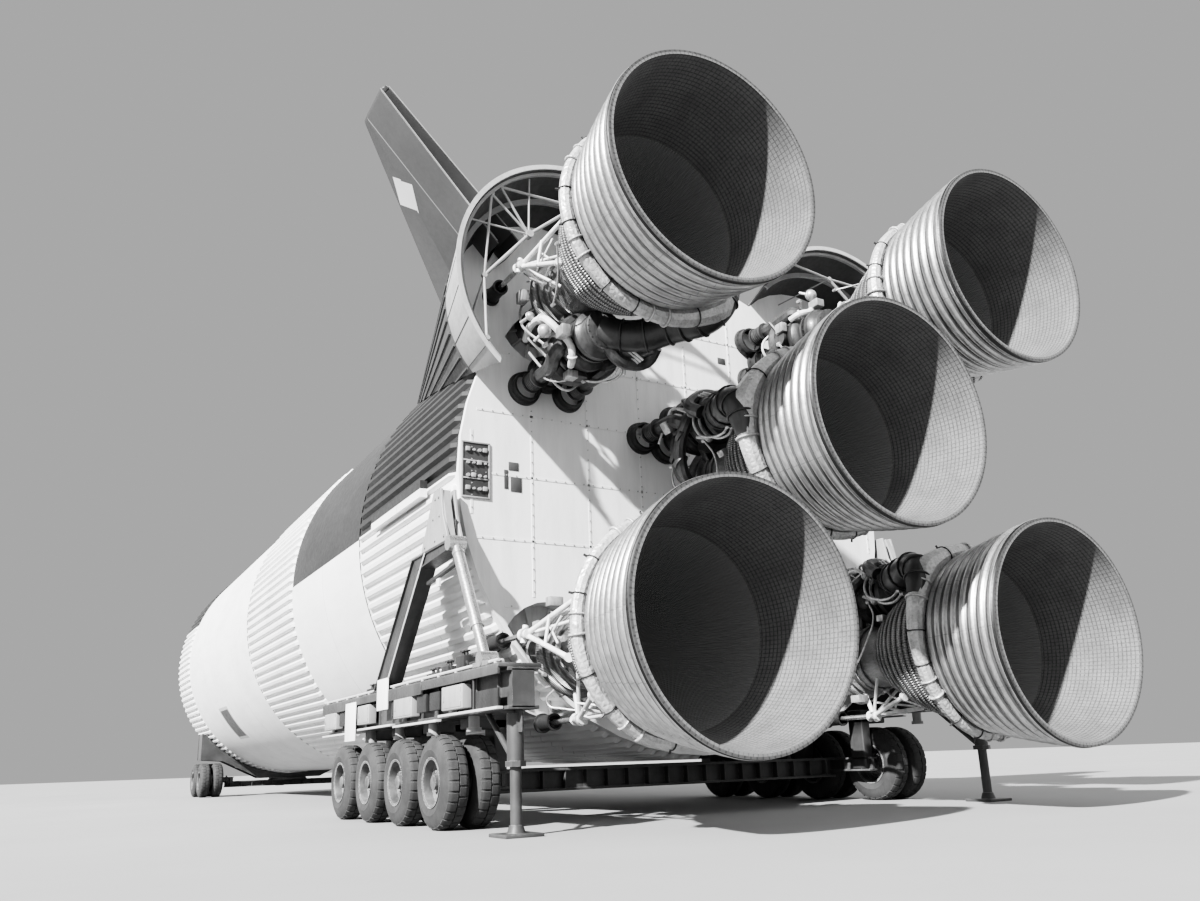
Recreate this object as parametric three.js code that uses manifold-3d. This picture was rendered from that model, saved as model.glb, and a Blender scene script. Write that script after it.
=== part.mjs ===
// First stage of a moon rocket lying on its wheeled transporter, as a model at half size.
// X runs forward along the stage, Y to port, Z up. Sizes are the real ones in millimetres.
import * as THREE from 'three';
import { mergeVertices } from 'three/addons/utils/BufferGeometryUtils.js';
import { ConvexGeometry } from 'three/addons/geometries/ConvexGeometry.js';
import Module from 'manifold-3d';

const wasm = await Module();
wasm.setup();

// The model is half size, so a gap of 0.6 here is 0.3 in the model.
const MODEL_SCALE = 0.5;
const GAP = 0.6;

// Stations along the stage, counted forward from the plane where the engines swivel.
const NOZZLE_EXIT_X = -5474;
const SHIELD_AFT_X = 180;
const SHIELD_THICKNESS = 100;
const THRUST_END_X = 6220;
const FUEL_END_X = 12750;
const INTERTANK_END_X = 19460;
const LOX_END_X = 33050;
const SKIRT_END_X = 36600;

// Body
const BODY_R = 5029;
const BODY_SIDES = 48;
const RIBS = 120;
const RIB_CREST = 60;
const RIB_VALLEY = -20;
const CREST_R = BODY_R + RIB_CREST;
const CLEAR_R = CREST_R / Math.cos(Math.PI / BODY_SIDES) + GAP;
const DOME_R = 4800;
const DOME_HEIGHT = 3300;
const SKIRT_INNER_R = 4850;
const AXIS_HEIGHT = 6060;
const GROUND_Z = -AXIS_HEIGHT;

// Engines stand on the diagonals of the base, and one in the middle.
const ENGINE_CIRCLE_R = 4623;
const ENGINE_OFFSET = ENGINE_CIRCLE_R * Math.SQRT1_2;
const BELL_SIDES = 20;
const THROAT_X = -1620;
const THROAT_R = 445;
const EXIT_R = 1778;
const EXTENSION_X = -3810;
const CHAMBER_R = 500;
const CHAMBER_OUTER_R = 620;
const INJECTOR_X = -700;
const DOME_TOP_X = -430;
const BELL_WALL = 90;
const EXTENSION_WALL = 70;
const HOOP_BANDS = 8;
const HOOP_VALLEY = 40;
const HOOP_CREST = 85;
const OUTRIGGER_ANGLES = [190, 280];
const OUTRIGGER_X = -1150;
const OUTRIGGER_R = 1150;
const OUTRIGGER_SPREAD = 26;
const OUTRIGGER_TUBE_R = 45;
const MANIFOLD_X = -3690;
const MANIFOLD_TUBE_R = 115;

// Gimbal: ears from the stage on both sides of the cross, ears from the engine above and below it.
const EAR_INNER = 190;
const EAR_THICKNESS = 70;
const EAR_HALF_WIDTH = 110;
const EAR_REACH = 120;
const PAD_R = 300;
const PAD_AFT_X = 190;
const BASE_HOLE_R = 1000;
const BASE_HOLE_DEPTH = 450;
const CROSS_CORE = 200;
const CROSS_PIN_R = 70;

// Half cone fairings over the upper outboard engines, and the fins on them
const FAIRING_AFT_X = -1308;
const FAIRING_R = 2390;
const FAIRING_NOSE_R = 500;
const FAIRING_WALL = 60;
const FAIRING_SIDES = 32;
const FIN_TIP_R = 9600;

// Transporter
const TYRE_R = 750;
const TYRE_WIDTH = 450;
const TYRE_SPACE = 100;
const TYRE_SIDES = 14;
const HUB_R = 330;
const AFT_AXLES = 4;
const AFT_AXLE_X = 450;
const AFT_AXLE_STEP = 1817;
const AFT_WHEEL_Y = 4900;
const DOLLY_X = 34800;
const DOLLY_AXLE_OFFSET = 950;
const DOLLY_WHEEL_Y = 3700;
const STUB_R = 120;
const AXLE_Z = GROUND_Z + TYRE_R;
const DECK_Z = -3640;
const LUG_FACE_Y = 5110;
const SUPPORT_THICKNESS = 300;
const ARM_TOP_Z = -1410;
const KNEE_X = 1500;
const RAIL_Y = [4100, 4340];
const PORT_STARBOARD = [['port', 1], ['starboard', -1]];

const FINISHES = {
  white_paint: { color: 0xe8e8e4, roughness: 0.6, metalness: 0 },
  black_paint: { color: 0x1b1c1e, roughness: 0.55, metalness: 0 },
  shield_coat: { color: 0xd9d8d2, roughness: 0.8, metalness: 0 },
  engine_metal: { color: 0x8f8c86, roughness: 0.4, metalness: 0.9 },
  pump_metal: { color: 0xa3a19c, roughness: 0.45, metalness: 0.8 },
  gimbal_steel: { color: 0x6f7072, roughness: 0.4, metalness: 0.9 },
  frame_paint: { color: 0x4a4c4e, roughness: 0.6, metalness: 0.1 },
  support_paint: { color: 0x2b2c2e, roughness: 0.5, metalness: 0.1 },
  tyre_rubber: { color: 0x1f1f1f, roughness: 0.9, metalness: 0 },
};

const group = new THREE.Group();
group.scale.setScalar(MODEL_SCALE);
const stage = new THREE.Group();
stage.position.set(-(NOZZLE_EXIT_X + SKIRT_END_X) / 2, 0, AXIS_HEIGHT);
group.add(stage);

// A closed three.js geometry as a solid that can be joined and cut
function solid(geometry) {
  const bare = geometry.clone();
  for (const name of Object.keys(bare.attributes)) {
    if (name !== 'position') bare.deleteAttribute(name);
  }
  const merged = mergeVertices(bare, 0.001);
  const corners = merged.index.array;
  const faces = [];
  for (let i = 0; i < corners.length; i += 3) {
    const [a, b, c] = corners.slice(i, i + 3);
    if (a !== b && b !== c && c !== a) faces.push(a, b, c);
  }
  return new wasm.Manifold(new wasm.Mesh({
    numProp: 3,
    vertProperties: new Float32Array(merged.attributes.position.array),
    triVerts: new Uint32Array(faces),
  }));
}

function geometryOf(body) {
  const { vertProperties, triVerts } = body.getMesh();
  const geometry = new THREE.BufferGeometry();
  geometry.setAttribute('position', new THREE.BufferAttribute(new Float32Array(vertProperties), 3));
  geometry.setIndex(new THREE.BufferAttribute(new Uint32Array(triVerts), 1));
  geometry.computeVertexNormals();
  return geometry;
}

function join(solids) {
  return solids.reduce((whole, next) => whole.add(next));
}

function addMesh(parent, name, body, finish) {
  const material = new THREE.MeshStandardMaterial(FINISHES[finish]);
  material.name = finish;
  const mesh = new THREE.Mesh(geometryOf(body), material);
  mesh.name = name;
  parent.add(mesh);
  return mesh;
}

function box(lowX, highX, lowY, highY, lowZ, highZ) {
  const geometry = new THREE.BoxGeometry(highX - lowX, highY - lowY, highZ - lowZ);
  geometry.translate((lowX + highX) / 2, (lowY + highY) / 2, (lowZ + highZ) / 2);
  return solid(geometry);
}

// A round or square bar from one point to another
function bar(from, to, radius, sides = 8, endRadius = radius) {
  const start = new THREE.Vector3(...from);
  const end = new THREE.Vector3(...to);
  const along = end.clone().sub(start);
  const geometry = new THREE.CylinderGeometry(endRadius, radius, along.length(), sides);
  geometry.rotateY(Math.PI / sides);
  const turn = new THREE.Quaternion().setFromUnitVectors(new THREE.Vector3(0, 1, 0), along.normalize());
  geometry.applyQuaternion(turn);
  const middle = start.add(end).multiplyScalar(0.5);
  geometry.translate(middle.x, middle.y, middle.z);
  return solid(geometry);
}

// A turned body about the X axis from [x, radius] points; the outline closes on itself or on the axis
function turned(points, sides) {
  const outline = points.map(([x, radius]) => new THREE.Vector2(radius, x));
  if (points[0][1] > 0) outline.push(outline[0].clone());
  if (THREE.ShapeUtils.area(outline) < 0) outline.reverse();
  const geometry = new THREE.LatheGeometry(outline, sides);
  geometry.rotateZ(-Math.PI / 2);
  return solid(geometry);
}

function disc(lowX, highX, radius, sides, y = 0, z = 0) {
  return turned([[lowX, 0], [lowX, radius], [highX, radius], [highX, 0]], sides).translate([0, y, z]);
}

// A length of the body with stringers all round, solid or open down to an inner radius
function ribbed(lowX, highX, innerR = 0) {
  const outline = [];
  for (let i = 0; i < 2 * RIBS; i += 1) {
    const angle = (i * Math.PI) / RIBS;
    const radius = BODY_R + (i % 2 ? RIB_VALLEY : RIB_CREST);
    outline.push(new THREE.Vector2(radius * Math.cos(angle), radius * Math.sin(angle)));
  }
  const geometry = new THREE.ExtrudeGeometry(new THREE.Shape(outline), { depth: highX - lowX, bevelEnabled: false });
  geometry.rotateY(Math.PI / 2);
  geometry.translate(lowX, 0, 0);
  const whole = solid(geometry);
  return innerR ? whole.subtract(disc(lowX - 10, highX + 10, innerR, BODY_SIDES)) : whole;
}

function pipe(points, radius, sides, steps) {
  const path = new THREE.CatmullRomCurve3(points.map((point) => new THREE.Vector3(...point)));
  const section = new THREE.Shape();
  section.absarc(0, 0, radius, 0, 2 * Math.PI);
  return solid(new THREE.ExtrudeGeometry(section, { steps, curveSegments: sides / 2, extrudePath: path }));
}

// Where each engine stands, and the way its pump faces, in degrees from port towards the top
const ENGINES = [
  { place: 'centre', y: 0, z: 0, pumpAngle: 60 },
  { place: 'top_port', y: ENGINE_OFFSET, z: ENGINE_OFFSET, pumpAngle: -90 },
  { place: 'top_starboard', y: -ENGINE_OFFSET, z: ENGINE_OFFSET, pumpAngle: 0 },
  { place: 'bottom_port', y: ENGINE_OFFSET, z: -ENGINE_OFFSET, pumpAngle: 180 },
  { place: 'bottom_starboard', y: -ENGINE_OFFSET, z: -ENGINE_OFFSET, pumpAngle: 90 },
];
const OUTBOARD = ENGINES.filter((engine) => engine.place !== 'centre');

// Inner radius of the bell from the throat to the exit, as one curve that opens fast and then flattens
const bellCurve = new THREE.QuadraticBezierCurve(
  new THREE.Vector2(THROAT_X, THROAT_R),
  new THREE.Vector2(THROAT_X - 1000, 1390),
  new THREE.Vector2(NOZZLE_EXIT_X, EXIT_R),
);

function bellRadius(x) {
  let low = 0;
  let high = 1;
  for (let i = 0; i < 40; i += 1) {
    const middle = (low + high) / 2;
    if (bellCurve.getPoint(middle).x > x) low = middle;
    else high = middle;
  }
  return bellCurve.getPoint(low).y;
}

// Outside of the thrust chamber from its aft end to its top, moved out by a clearance
function chamberOutside(clearance = 0) {
  const outline = [[EXTENSION_X + GAP, bellRadius(EXTENSION_X) + BELL_WALL + clearance]];
  for (const [turnX, turnR] of [[-1, 0.35], [-0.7, 1], [0.7, 1], [1, 0.35]]) {
    const x = MANIFOLD_X + turnX * MANIFOLD_TUBE_R;
    outline.push([x, bellRadius(MANIFOLD_X) + BELL_WALL + turnR * 2 * MANIFOLD_TUBE_R + clearance]);
  }
  outline.push([-3500, bellRadius(-3500) + BELL_WALL + clearance]);
  for (const x of [-2500, -1950]) outline.push([x, bellRadius(x) + BELL_WALL + clearance]);
  outline.push([THROAT_X, THROAT_R + 1.5 * BELL_WALL + clearance]);
  outline.push([-1350, CHAMBER_OUTER_R + clearance]);
  outline.push([-600 + clearance, CHAMBER_OUTER_R + clearance]);
  outline.push([DOME_TOP_X + clearance, 360 + clearance]);
  outline.push([DOME_TOP_X + clearance, 0]);
  return outline;
}

function thrustChamber() {
  const inside = [[INJECTOR_X, 0], [INJECTOR_X, CHAMBER_R], [-1250, CHAMBER_R], [THROAT_X, THROAT_R]];
  for (const x of [-2000, -2700]) inside.push([x, bellRadius(x)]);
  inside.push([EXTENSION_X + GAP, bellRadius(EXTENSION_X)]);
  return turned([...inside, ...chamberOutside()], BELL_SIDES).add(outriggers());
}

// The bell's skirt, with hoop bands rolled into its outside
function nozzleExtension() {
  const inside = [EXTENSION_X, -4200, -4800, NOZZLE_EXIT_X].map((x) => [x, bellRadius(x)]);
  const outside = [[NOZZLE_EXIT_X, EXIT_R + EXTENSION_WALL]];
  const pitch = (EXTENSION_X - NOZZLE_EXIT_X) / HOOP_BANDS;
  for (let i = 0; i < HOOP_BANDS; i += 1) {
    const valleyX = NOZZLE_EXIT_X + (i + 0.3) * pitch;
    const crestX = NOZZLE_EXIT_X + (i + 0.75) * pitch;
    outside.push([valleyX, bellRadius(valleyX) + HOOP_VALLEY], [crestX, bellRadius(crestX) + HOOP_CREST]);
  }
  outside.push([EXTENSION_X, bellRadius(EXTENSION_X) + HOOP_VALLEY]);
  return turned([...inside, ...outside], BELL_SIDES);
}

// Tube frames that carry the two actuators' pins out from the chamber
function outriggers() {
  const parts = [];
  const at = (x, r, degrees) => {
    const angle = degrees * Math.PI / 180;
    return [x, r * Math.cos(angle), r * Math.sin(angle)];
  };
  for (const angle of OUTRIGGER_ANGLES) {
    const hub = at(OUTRIGGER_X, OUTRIGGER_R, angle);
    parts.push(bar(at(OUTRIGGER_X - 130, OUTRIGGER_R, angle), at(OUTRIGGER_X + 130, OUTRIGGER_R, angle), 90));
    for (const spread of [-OUTRIGGER_SPREAD, OUTRIGGER_SPREAD]) {
      parts.push(bar(hub, at(-2350, bellRadius(-2350) + 40, angle + spread), OUTRIGGER_TUBE_R, 6));
    }
    parts.push(bar(hub, at(-850, CHAMBER_OUTER_R - 40, angle), OUTRIGGER_TUBE_R, 6));
  }
  return join(parts);
}

// Ears that hold two opposite pins of the cross; the engine's pair stands above and below it
function gimbalEars(fromX, toX, alongZ) {
  const ears = [-1, 1].map((side) => {
    const near = side * EAR_INNER;
    const far = side * (EAR_INNER + EAR_THICKNESS);
    const [low, high] = near < far ? [near, far] : [far, near];
    if (alongZ) return box(fromX, toX, -EAR_HALF_WIDTH, EAR_HALF_WIDTH, low, high);
    return box(fromX, toX, low, high, -EAR_HALF_WIDTH, EAR_HALF_WIDTH);
  });
  return join(ears);
}

function gimbalCross() {
  const half = CROSS_CORE / 2;
  const tip = EAR_INNER - GAP;
  return join([
    box(-half, half, -half, half, -half, half),
    bar([0, -tip, 0], [0, tip, 0], CROSS_PIN_R),
    bar([0, 0, -tip], [0, 0, tip], CROSS_PIN_R),
  ]);
}

// Pump, turbine and ducts, standing on the side of the chamber that the local Z axis points to
function turbopump() {
  const pumpZ = 1180;
  const parts = [
    disc(-1700, -720, 500, 12, 0, pumpZ),
    disc(-2120, -1700, 400, 12, 0, pumpZ),
    disc(-720, -430, 230, 8, 0, pumpZ),
    pipe([
      [-1950, 0, pumpZ], [-2300, 420, 1340], [-2800, 860, 1230], [-3300, 1000, 1230],
      [MANIFOLD_X + 150, 1260, 1060],
    ], 250, 8, 5),
  ];
  for (const side of [-1, 1]) {
    parts.push(pipe([
      [-1000, side * 300, pumpZ], [-1060, side * 640, 950], [-900, side * 620, 600], [-880, side * 450, 330],
    ], 120, 6, 5));
  }
  const clear = turned([[EXTENSION_X, 0], ...chamberOutside(GAP)], BELL_SIDES);
  return join(parts).subtract(clear);
}

function addEngine({ place, y, z, pumpAngle }) {
  const engine = new THREE.Group();
  engine.position.set(0, y, z);
  stage.add(engine);
  const turn = [pumpAngle - 90, 0, 0];
  const isCentre = place === 'centre';
  const mount = isCentre
    ? disc(DOME_TOP_X - 20, PAD_AFT_X - GAP, 300, 16)
    : gimbalEars(DOME_TOP_X - 150, EAR_REACH, true);
  addMesh(engine, `thrust_chamber_${place}`, thrustChamber().rotate(turn).add(mount), 'engine_metal');
  addMesh(engine, `nozzle_extension_${place}`, nozzleExtension().rotate(turn), 'engine_metal');
  addMesh(engine, `turbopump_${place}`, turbopump().rotate(turn), 'pump_metal');
  if (!isCentre) addMesh(engine, `gimbal_cross_${place}`, gimbalCross(), 'gimbal_steel');
}

// Round opening in the base at an engine, kept inside the skin
function baseHole(lowX, highX, radius, y, z) {
  const inBody = disc(lowX, highX, BODY_R - 80, BODY_SIDES);
  return disc(lowX, highX, radius, 24, y, z).intersect(inBody);
}

function thrustStructure() {
  const aftX = SHIELD_AFT_X + SHIELD_THICKNESS + GAP;
  let body = ribbed(aftX, THRUST_END_X - GAP);
  for (const { y, z } of OUTBOARD) {
    body = body.subtract(baseHole(aftX - 10, aftX + BASE_HOLE_DEPTH, BASE_HOLE_R, y, z));
  }
  const pads = ENGINES.map(({ y, z }) => disc(PAD_AFT_X, aftX + BASE_HOLE_DEPTH + 50, PAD_R, 16, y, z));
  const ears = OUTBOARD.map(({ y, z }) => gimbalEars(-EAR_REACH, PAD_AFT_X + 20, false).translate([0, y, z]));
  const lugs = [-1, 1].map((side) => {
    const near = side * (BODY_R - 300);
    const far = side * LUG_FACE_Y;
    return box(aftX, 900, Math.min(near, far), Math.max(near, far), -950, -250);
  });
  return join([body, ...pads, ...ears, ...lugs]);
}

function baseHeatShield() {
  const foreX = SHIELD_AFT_X + SHIELD_THICKNESS;
  let body = disc(SHIELD_AFT_X, foreX, BODY_R, BODY_SIDES);
  const slab = box(SHIELD_AFT_X, foreX, 0, 8000, -4000, 4000);
  for (const [, side] of PORT_STARBOARD) {
    const lobe = fairingCone(FAIRING_WALL + GAP, 500).intersect(slab);
    body = body.add(lobe.rotate([90 - side * 45, 0, 0]));
  }
  for (const { y, z } of OUTBOARD) body = body.subtract(baseHole(0, 400, BASE_HOLE_R, y, z));
  return body.subtract(disc(0, 400, PAD_R + GAP, 16));
}

function loxTank() {
  const outline = [[INTERTANK_END_X, 0], [INTERTANK_END_X, BODY_R], [LOX_END_X - GAP, BODY_R]];
  const rows = 6;
  for (let i = 0; i <= rows; i += 1) {
    const angle = (i / rows) * Math.PI / 2;
    outline.push([LOX_END_X - GAP + DOME_HEIGHT * Math.sin(angle), DOME_R * Math.max(Math.cos(angle), 0)]);
  }
  outline[outline.length - 1][1] = 0;
  return turned(outline, BODY_SIDES);
}

// The cone that a fairing's wall lies between, its outermost line falling to the body
function fairingCone(inset, overrun) {
  const length = THRUST_END_X - FAIRING_AFT_X;
  const slope = (FAIRING_R - FAIRING_NOSE_R) / length;
  const aftR = FAIRING_R + slope * overrun - inset;
  const noseR = FAIRING_NOSE_R - inset;
  const outline = [
    [FAIRING_AFT_X - overrun, 0], [FAIRING_AFT_X - overrun, aftR],
    [THRUST_END_X, noseR], [THRUST_END_X, 0],
  ];
  const geometryShift = (CREST_R - FAIRING_NOSE_R - ENGINE_CIRCLE_R) / length;
  const cone = turned(outline, FAIRING_SIDES);
  return cone.transform([
    1, geometryShift, 0, 0,
    0, 1, 0, 0,
    0, 0, 1, 0,
    0, ENGINE_CIRCLE_R - geometryShift * FAIRING_AFT_X, 0, 1,
  ]);
}

// A fairing built with its outermost line towards +Y, then turned to its diagonal
function fairing(diagonal) {
  const shell = fairingCone(0, 0).subtract(fairingCone(FAIRING_WALL, 500));
  const body = disc(FAIRING_AFT_X - 600, THRUST_END_X + 100, CLEAR_R, BODY_SIDES);
  return shell.rotate([diagonal, 0, 0]).subtract(body);
}

// Fin in the plane of its diagonal: thick at its blunt trailing edge, thin along its leading edge
function fin(diagonal) {
  const corners = [
    { x: -500, r: 6200, half: 200 },
    { x: -550, r: FIN_TIP_R, half: 90 },
    { x: 550, r: FIN_TIP_R, half: 45 },
    { x: 2950, r: 5720, half: 45 },
    { x: 350, r: FIN_TIP_R, half: 80 },
    { x: 1500, r: 6100, half: 180 },
  ];
  const points = corners.flatMap(({ x, r, half }) => [
    new THREE.Vector3(x, r, -half), new THREE.Vector3(x, r, half),
  ]);
  const blade = solid(new ConvexGeometry(points));
  return blade.subtract(fairingCone(-GAP, 0)).rotate([diagonal, 0, 0]);
}

function umbilicalTunnel() {
  return box(1600, 4650, CREST_R + GAP, CREST_R + 140, -160, 160);
}

// Transporter, built for the port side and mirrored for starboard

function mirrored(body, side) {
  return side > 0 ? body : body.mirror([0, 1, 0]);
}

function sideFrame() {
  const frontX = 7400;
  const aftX = -2300;
  const jackX = -2000;
  const jackY = 5000;
  const parts = [
    box(aftX, frontX, 4750, 5250, -4300, -3700),
    box(aftX, frontX, 4700, 5400, -3701, DECK_Z),
    box(AFT_AXLE_X - 300, AFT_AXLE_X + 3 * AFT_AXLE_STEP + 300, ...RAIL_Y, -5450, -5170),
    bar([jackX, jackY, -4290], [jackX, jackY, GROUND_Z + 50], 110),
    box(jackX - 300, jackX + 300, jackY - 300, jackY + 300, GROUND_Z, GROUND_Z + 70),
  ];
  for (let i = 0; i < AFT_AXLES; i += 1) {
    const x = AFT_AXLE_X + i * AFT_AXLE_STEP;
    parts.push(box(x - 200, x + 200, RAIL_Y[0], 4800, -4480, -4200));
    parts.push(box(x - 200, x + 200, ...RAIL_Y, -5400, -4300));
    parts.push(bar([x, 4300, AXLE_Z], [x, AFT_WHEEL_Y - 400 - GAP, AXLE_Z], STUB_R));
  }
  return join(parts);
}

// A flat plate of the support, cut to its corners given as X and Z
function supportPlate(corners) {
  return solid(new ConvexGeometry(corners.flatMap(([x, z]) => [
    new THREE.Vector3(x, LUG_FACE_Y + GAP, z),
    new THREE.Vector3(x, LUG_FACE_Y + GAP + SUPPORT_THICKNESS, z),
  ])));
}

// Frame that carries the aft end of the stage on its side lug: head, arm, leg and round strut
function stageSupport() {
  const middleY = LUG_FACE_Y + GAP + SUPPORT_THICKNESS / 2;
  const footZ = DECK_Z + GAP;
  const head = supportPlate([
    [50, -420], [400, -420], [970, -1340], [970, ARM_TOP_Z - 2], [-300, ARM_TOP_Z - 2], [-50, -900],
  ]);
  const arm = supportPlate([
    [-350, ARM_TOP_Z], [KNEE_X, ARM_TOP_Z], [1250, ARM_TOP_Z - 230], [-350, ARM_TOP_Z - 150],
  ]);
  const leg = supportPlate([
    [KNEE_X, ARM_TOP_Z], [KNEE_X - 700, ARM_TOP_Z], [2860, footZ], [3620, footZ],
  ]);
  const aboveDeck = box(-3000, 6000, 4000, 6000, footZ, 0);
  const strut = bar([-300, middleY, -1450], [-1600, middleY, -3800], 95).intersect(aboveDeck);
  return join([head, arm, leg, strut]);
}

function crossBeam(x) {
  const reach = RAIL_Y[0] - GAP;
  return box(x - 200, x + 200, -reach, reach, -5560, -5160);
}

// Saddle under the forward skirt, hollowed to the body
function forwardCradle() {
  const halfLength = 600;
  const shape = new THREE.Shape([
    [-1400, -5300], [1400, -5300], [3100, -4480], [4100, -4400],
    [4100, -3200], [-4100, -3200], [-4100, -4400], [-3100, -4480],
  ].map(([y, z]) => new THREE.Vector2(y, z)));
  const blank = new THREE.ExtrudeGeometry(shape, { depth: 2 * halfLength, bevelEnabled: false });
  blank.rotateX(Math.PI / 2);
  blank.rotateZ(Math.PI / 2);
  blank.translate(DOLLY_X - halfLength, 0, 0);
  return solid(blank).subtract(disc(DOLLY_X - 1000, DOLLY_X + 1000, CLEAR_R, BODY_SIDES));
}

function forwardBogie() {
  const parts = [
    bar([0, 0, -5400], [0, 0, -5300 - GAP], 900, 24),
    box(-260, 260, -2900, 2900, -5660, -5390),
    box(200, 1650, -140, 140, -5640, -5440),
    box(1600, 1700, -200, 200, -5700, -5380),
  ];
  for (const side of [-1, 1]) {
    const [low, high] = side > 0 ? [2680, 2960] : [-2960, -2680];
    parts.push(box(-1200, 1200, low, high, -5450, -5190));
    for (const end of [-1, 1]) {
      const x = end * DOLLY_AXLE_OFFSET;
      parts.push(bar([x, side * 2800, AXLE_Z], [x, side * (DOLLY_WHEEL_Y - 400 - GAP), AXLE_Z], STUB_R));
    }
  }
  return join(parts).translate([DOLLY_X, 0, 0]);
}

// Two tyres on one hub, turned about the Y axis, standing on a flat of their outline
function wheelPair() {
  const outer = TYRE_R / Math.cos(Math.PI / TYRE_SIDES);
  const half = TYRE_SPACE / 2 + TYRE_WIDTH;
  const innerHalf = TYRE_SPACE / 2;
  const face = half - 100;
  const side = [
    [HUB_R, face], [HUB_R + 60, half], [outer - 60, half], [outer, innerHalf],
    [HUB_R + 70, innerHalf],
  ];
  const outline = [
    [0, -face], ...side.map(([r, y]) => [r, -y]), ...side.toReversed(), [0, face],
  ].map(([r, y]) => new THREE.Vector2(r, y));
  if (THREE.ShapeUtils.area(outline) < 0) outline.reverse();
  return solid(new THREE.LatheGeometry(outline, TYRE_SIDES, Math.PI / TYRE_SIDES));
}

function addWheelPair(name, x, y) {
  addMesh(stage, name, wheelPair().translate([x, y, AXLE_Z]), 'tyre_rubber');
}

addMesh(stage, 'thrust_structure', thrustStructure(), 'white_paint');
addMesh(stage, 'base_heat_shield', baseHeatShield(), 'shield_coat');
addMesh(stage, 'fuel_tank', disc(THRUST_END_X, FUEL_END_X - GAP, BODY_R, BODY_SIDES), 'white_paint');
addMesh(stage, 'intertank', ribbed(FUEL_END_X, INTERTANK_END_X - GAP), 'white_paint');
addMesh(stage, 'lox_tank', loxTank(), 'white_paint');
addMesh(stage, 'forward_skirt', ribbed(LOX_END_X, SKIRT_END_X, SKIRT_INNER_R), 'white_paint');
addMesh(stage, 'umbilical_tunnel', umbilicalTunnel(), 'white_paint');
for (const engine of ENGINES) addEngine(engine);
for (const [name, side] of PORT_STARBOARD) {
  const diagonal = 90 - side * 45;
  addMesh(stage, `engine_fairing_${name}`, fairing(diagonal), 'black_paint');
  addMesh(stage, `fin_${name}`, fin(diagonal), 'black_paint');
  addMesh(stage, `aft_side_frame_${name}`, mirrored(sideFrame(), side), 'frame_paint');
  addMesh(stage, `aft_support_${name}`, mirrored(stageSupport(), side), 'support_paint');
  for (let i = 0; i < AFT_AXLES; i += 1) {
    addWheelPair(`aft_wheels_${name}_${i + 1}`, AFT_AXLE_X + i * AFT_AXLE_STEP, side * AFT_WHEEL_Y);
  }
  for (const [end, offset] of [['rear', -DOLLY_AXLE_OFFSET], ['front', DOLLY_AXLE_OFFSET]]) {
    addWheelPair(`forward_wheels_${name}_${end}`, DOLLY_X + offset, side * DOLLY_WHEEL_Y);
  }
}
addMesh(stage, 'aft_cross_beam_1', crossBeam(AFT_AXLE_X + 0.5 * AFT_AXLE_STEP), 'frame_paint');
addMesh(stage, 'aft_cross_beam_2', crossBeam(AFT_AXLE_X + 2.5 * AFT_AXLE_STEP), 'frame_paint');
addMesh(stage, 'forward_cradle', forwardCradle(), 'frame_paint');
addMesh(stage, 'forward_bogie', forwardBogie(), 'frame_paint');

export default group;
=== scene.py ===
import math

import bpy
from mathutils import Matrix, Vector


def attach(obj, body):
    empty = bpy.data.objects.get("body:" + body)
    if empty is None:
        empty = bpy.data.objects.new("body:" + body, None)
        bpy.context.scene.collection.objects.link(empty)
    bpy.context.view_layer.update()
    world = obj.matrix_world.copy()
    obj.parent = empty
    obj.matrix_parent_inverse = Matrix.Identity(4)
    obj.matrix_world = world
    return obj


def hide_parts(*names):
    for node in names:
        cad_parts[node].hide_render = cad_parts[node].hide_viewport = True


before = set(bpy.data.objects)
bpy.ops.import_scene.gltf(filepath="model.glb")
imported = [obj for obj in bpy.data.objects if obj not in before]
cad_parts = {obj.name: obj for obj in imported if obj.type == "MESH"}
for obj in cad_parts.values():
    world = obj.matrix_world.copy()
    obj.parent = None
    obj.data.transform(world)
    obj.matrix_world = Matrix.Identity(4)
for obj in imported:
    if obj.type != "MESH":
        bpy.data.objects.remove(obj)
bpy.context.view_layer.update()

# The stage is modelled at full size, in metres from the engines' gimbal plane: X forward, Y to port,
# Z up from the stage's axis. Each finished piece is then put at the model's half scale.
MODEL_SCALE = 0.5
STAGE_ORIGIN = Vector((-7.7815, 0.0, 3.03))
STAGE_PLACE = Matrix.Translation(STAGE_ORIGIN) @ Matrix.Scale(MODEL_SCALE, 4)

GROUND_Z = -6.06
SKIN_R = 5.009
RIB_CREST_R = 5.089
TANK_R = 5.029
RIBS = 120
RIB_MARGIN = 0.10
RIB_SLOPE = 0.12
SHIELD_AFT_X = 0.18
SHIELD_FORE_X = 0.28
THRUST_END_X = 6.22
FUEL_END_X = 12.75
INTERTANK_END_X = 19.46
LOX_END_X = 33.05
SKIRT_END_X = 36.6
SKIRT_INNER_R = 4.85
DOME_R = 4.8
DOME_HEIGHT = 3.3

ENGINE_OFFSET = 3.269
THROAT_X = -1.62
THROAT_R = 0.445
EXIT_X = -5.474
EXIT_R = 1.778
EXTENSION_X = -3.81
CHAMBER_R = 0.62
INJECTOR_X = -0.6
DOME_TOP_X = -0.43
MANIFOLD_X = -3.70
# Radius of the exhaust manifold's tube, by degrees from the elbow that feeds it
MANIFOLD_TUBE = [(0, 0.24), (15, 0.18), (30, 0.155), (60, 0.12), (90, 0.105), (180, 0.105)]
ELBOW_ANGLE = 45
ACTUATOR_ANGLES = (190, 280)
BELL_WALL = 0.03
HOOP_BANDS = 8
HOOP_PITCH = (EXTENSION_X - EXIT_X) / HOOP_BANDS
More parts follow.
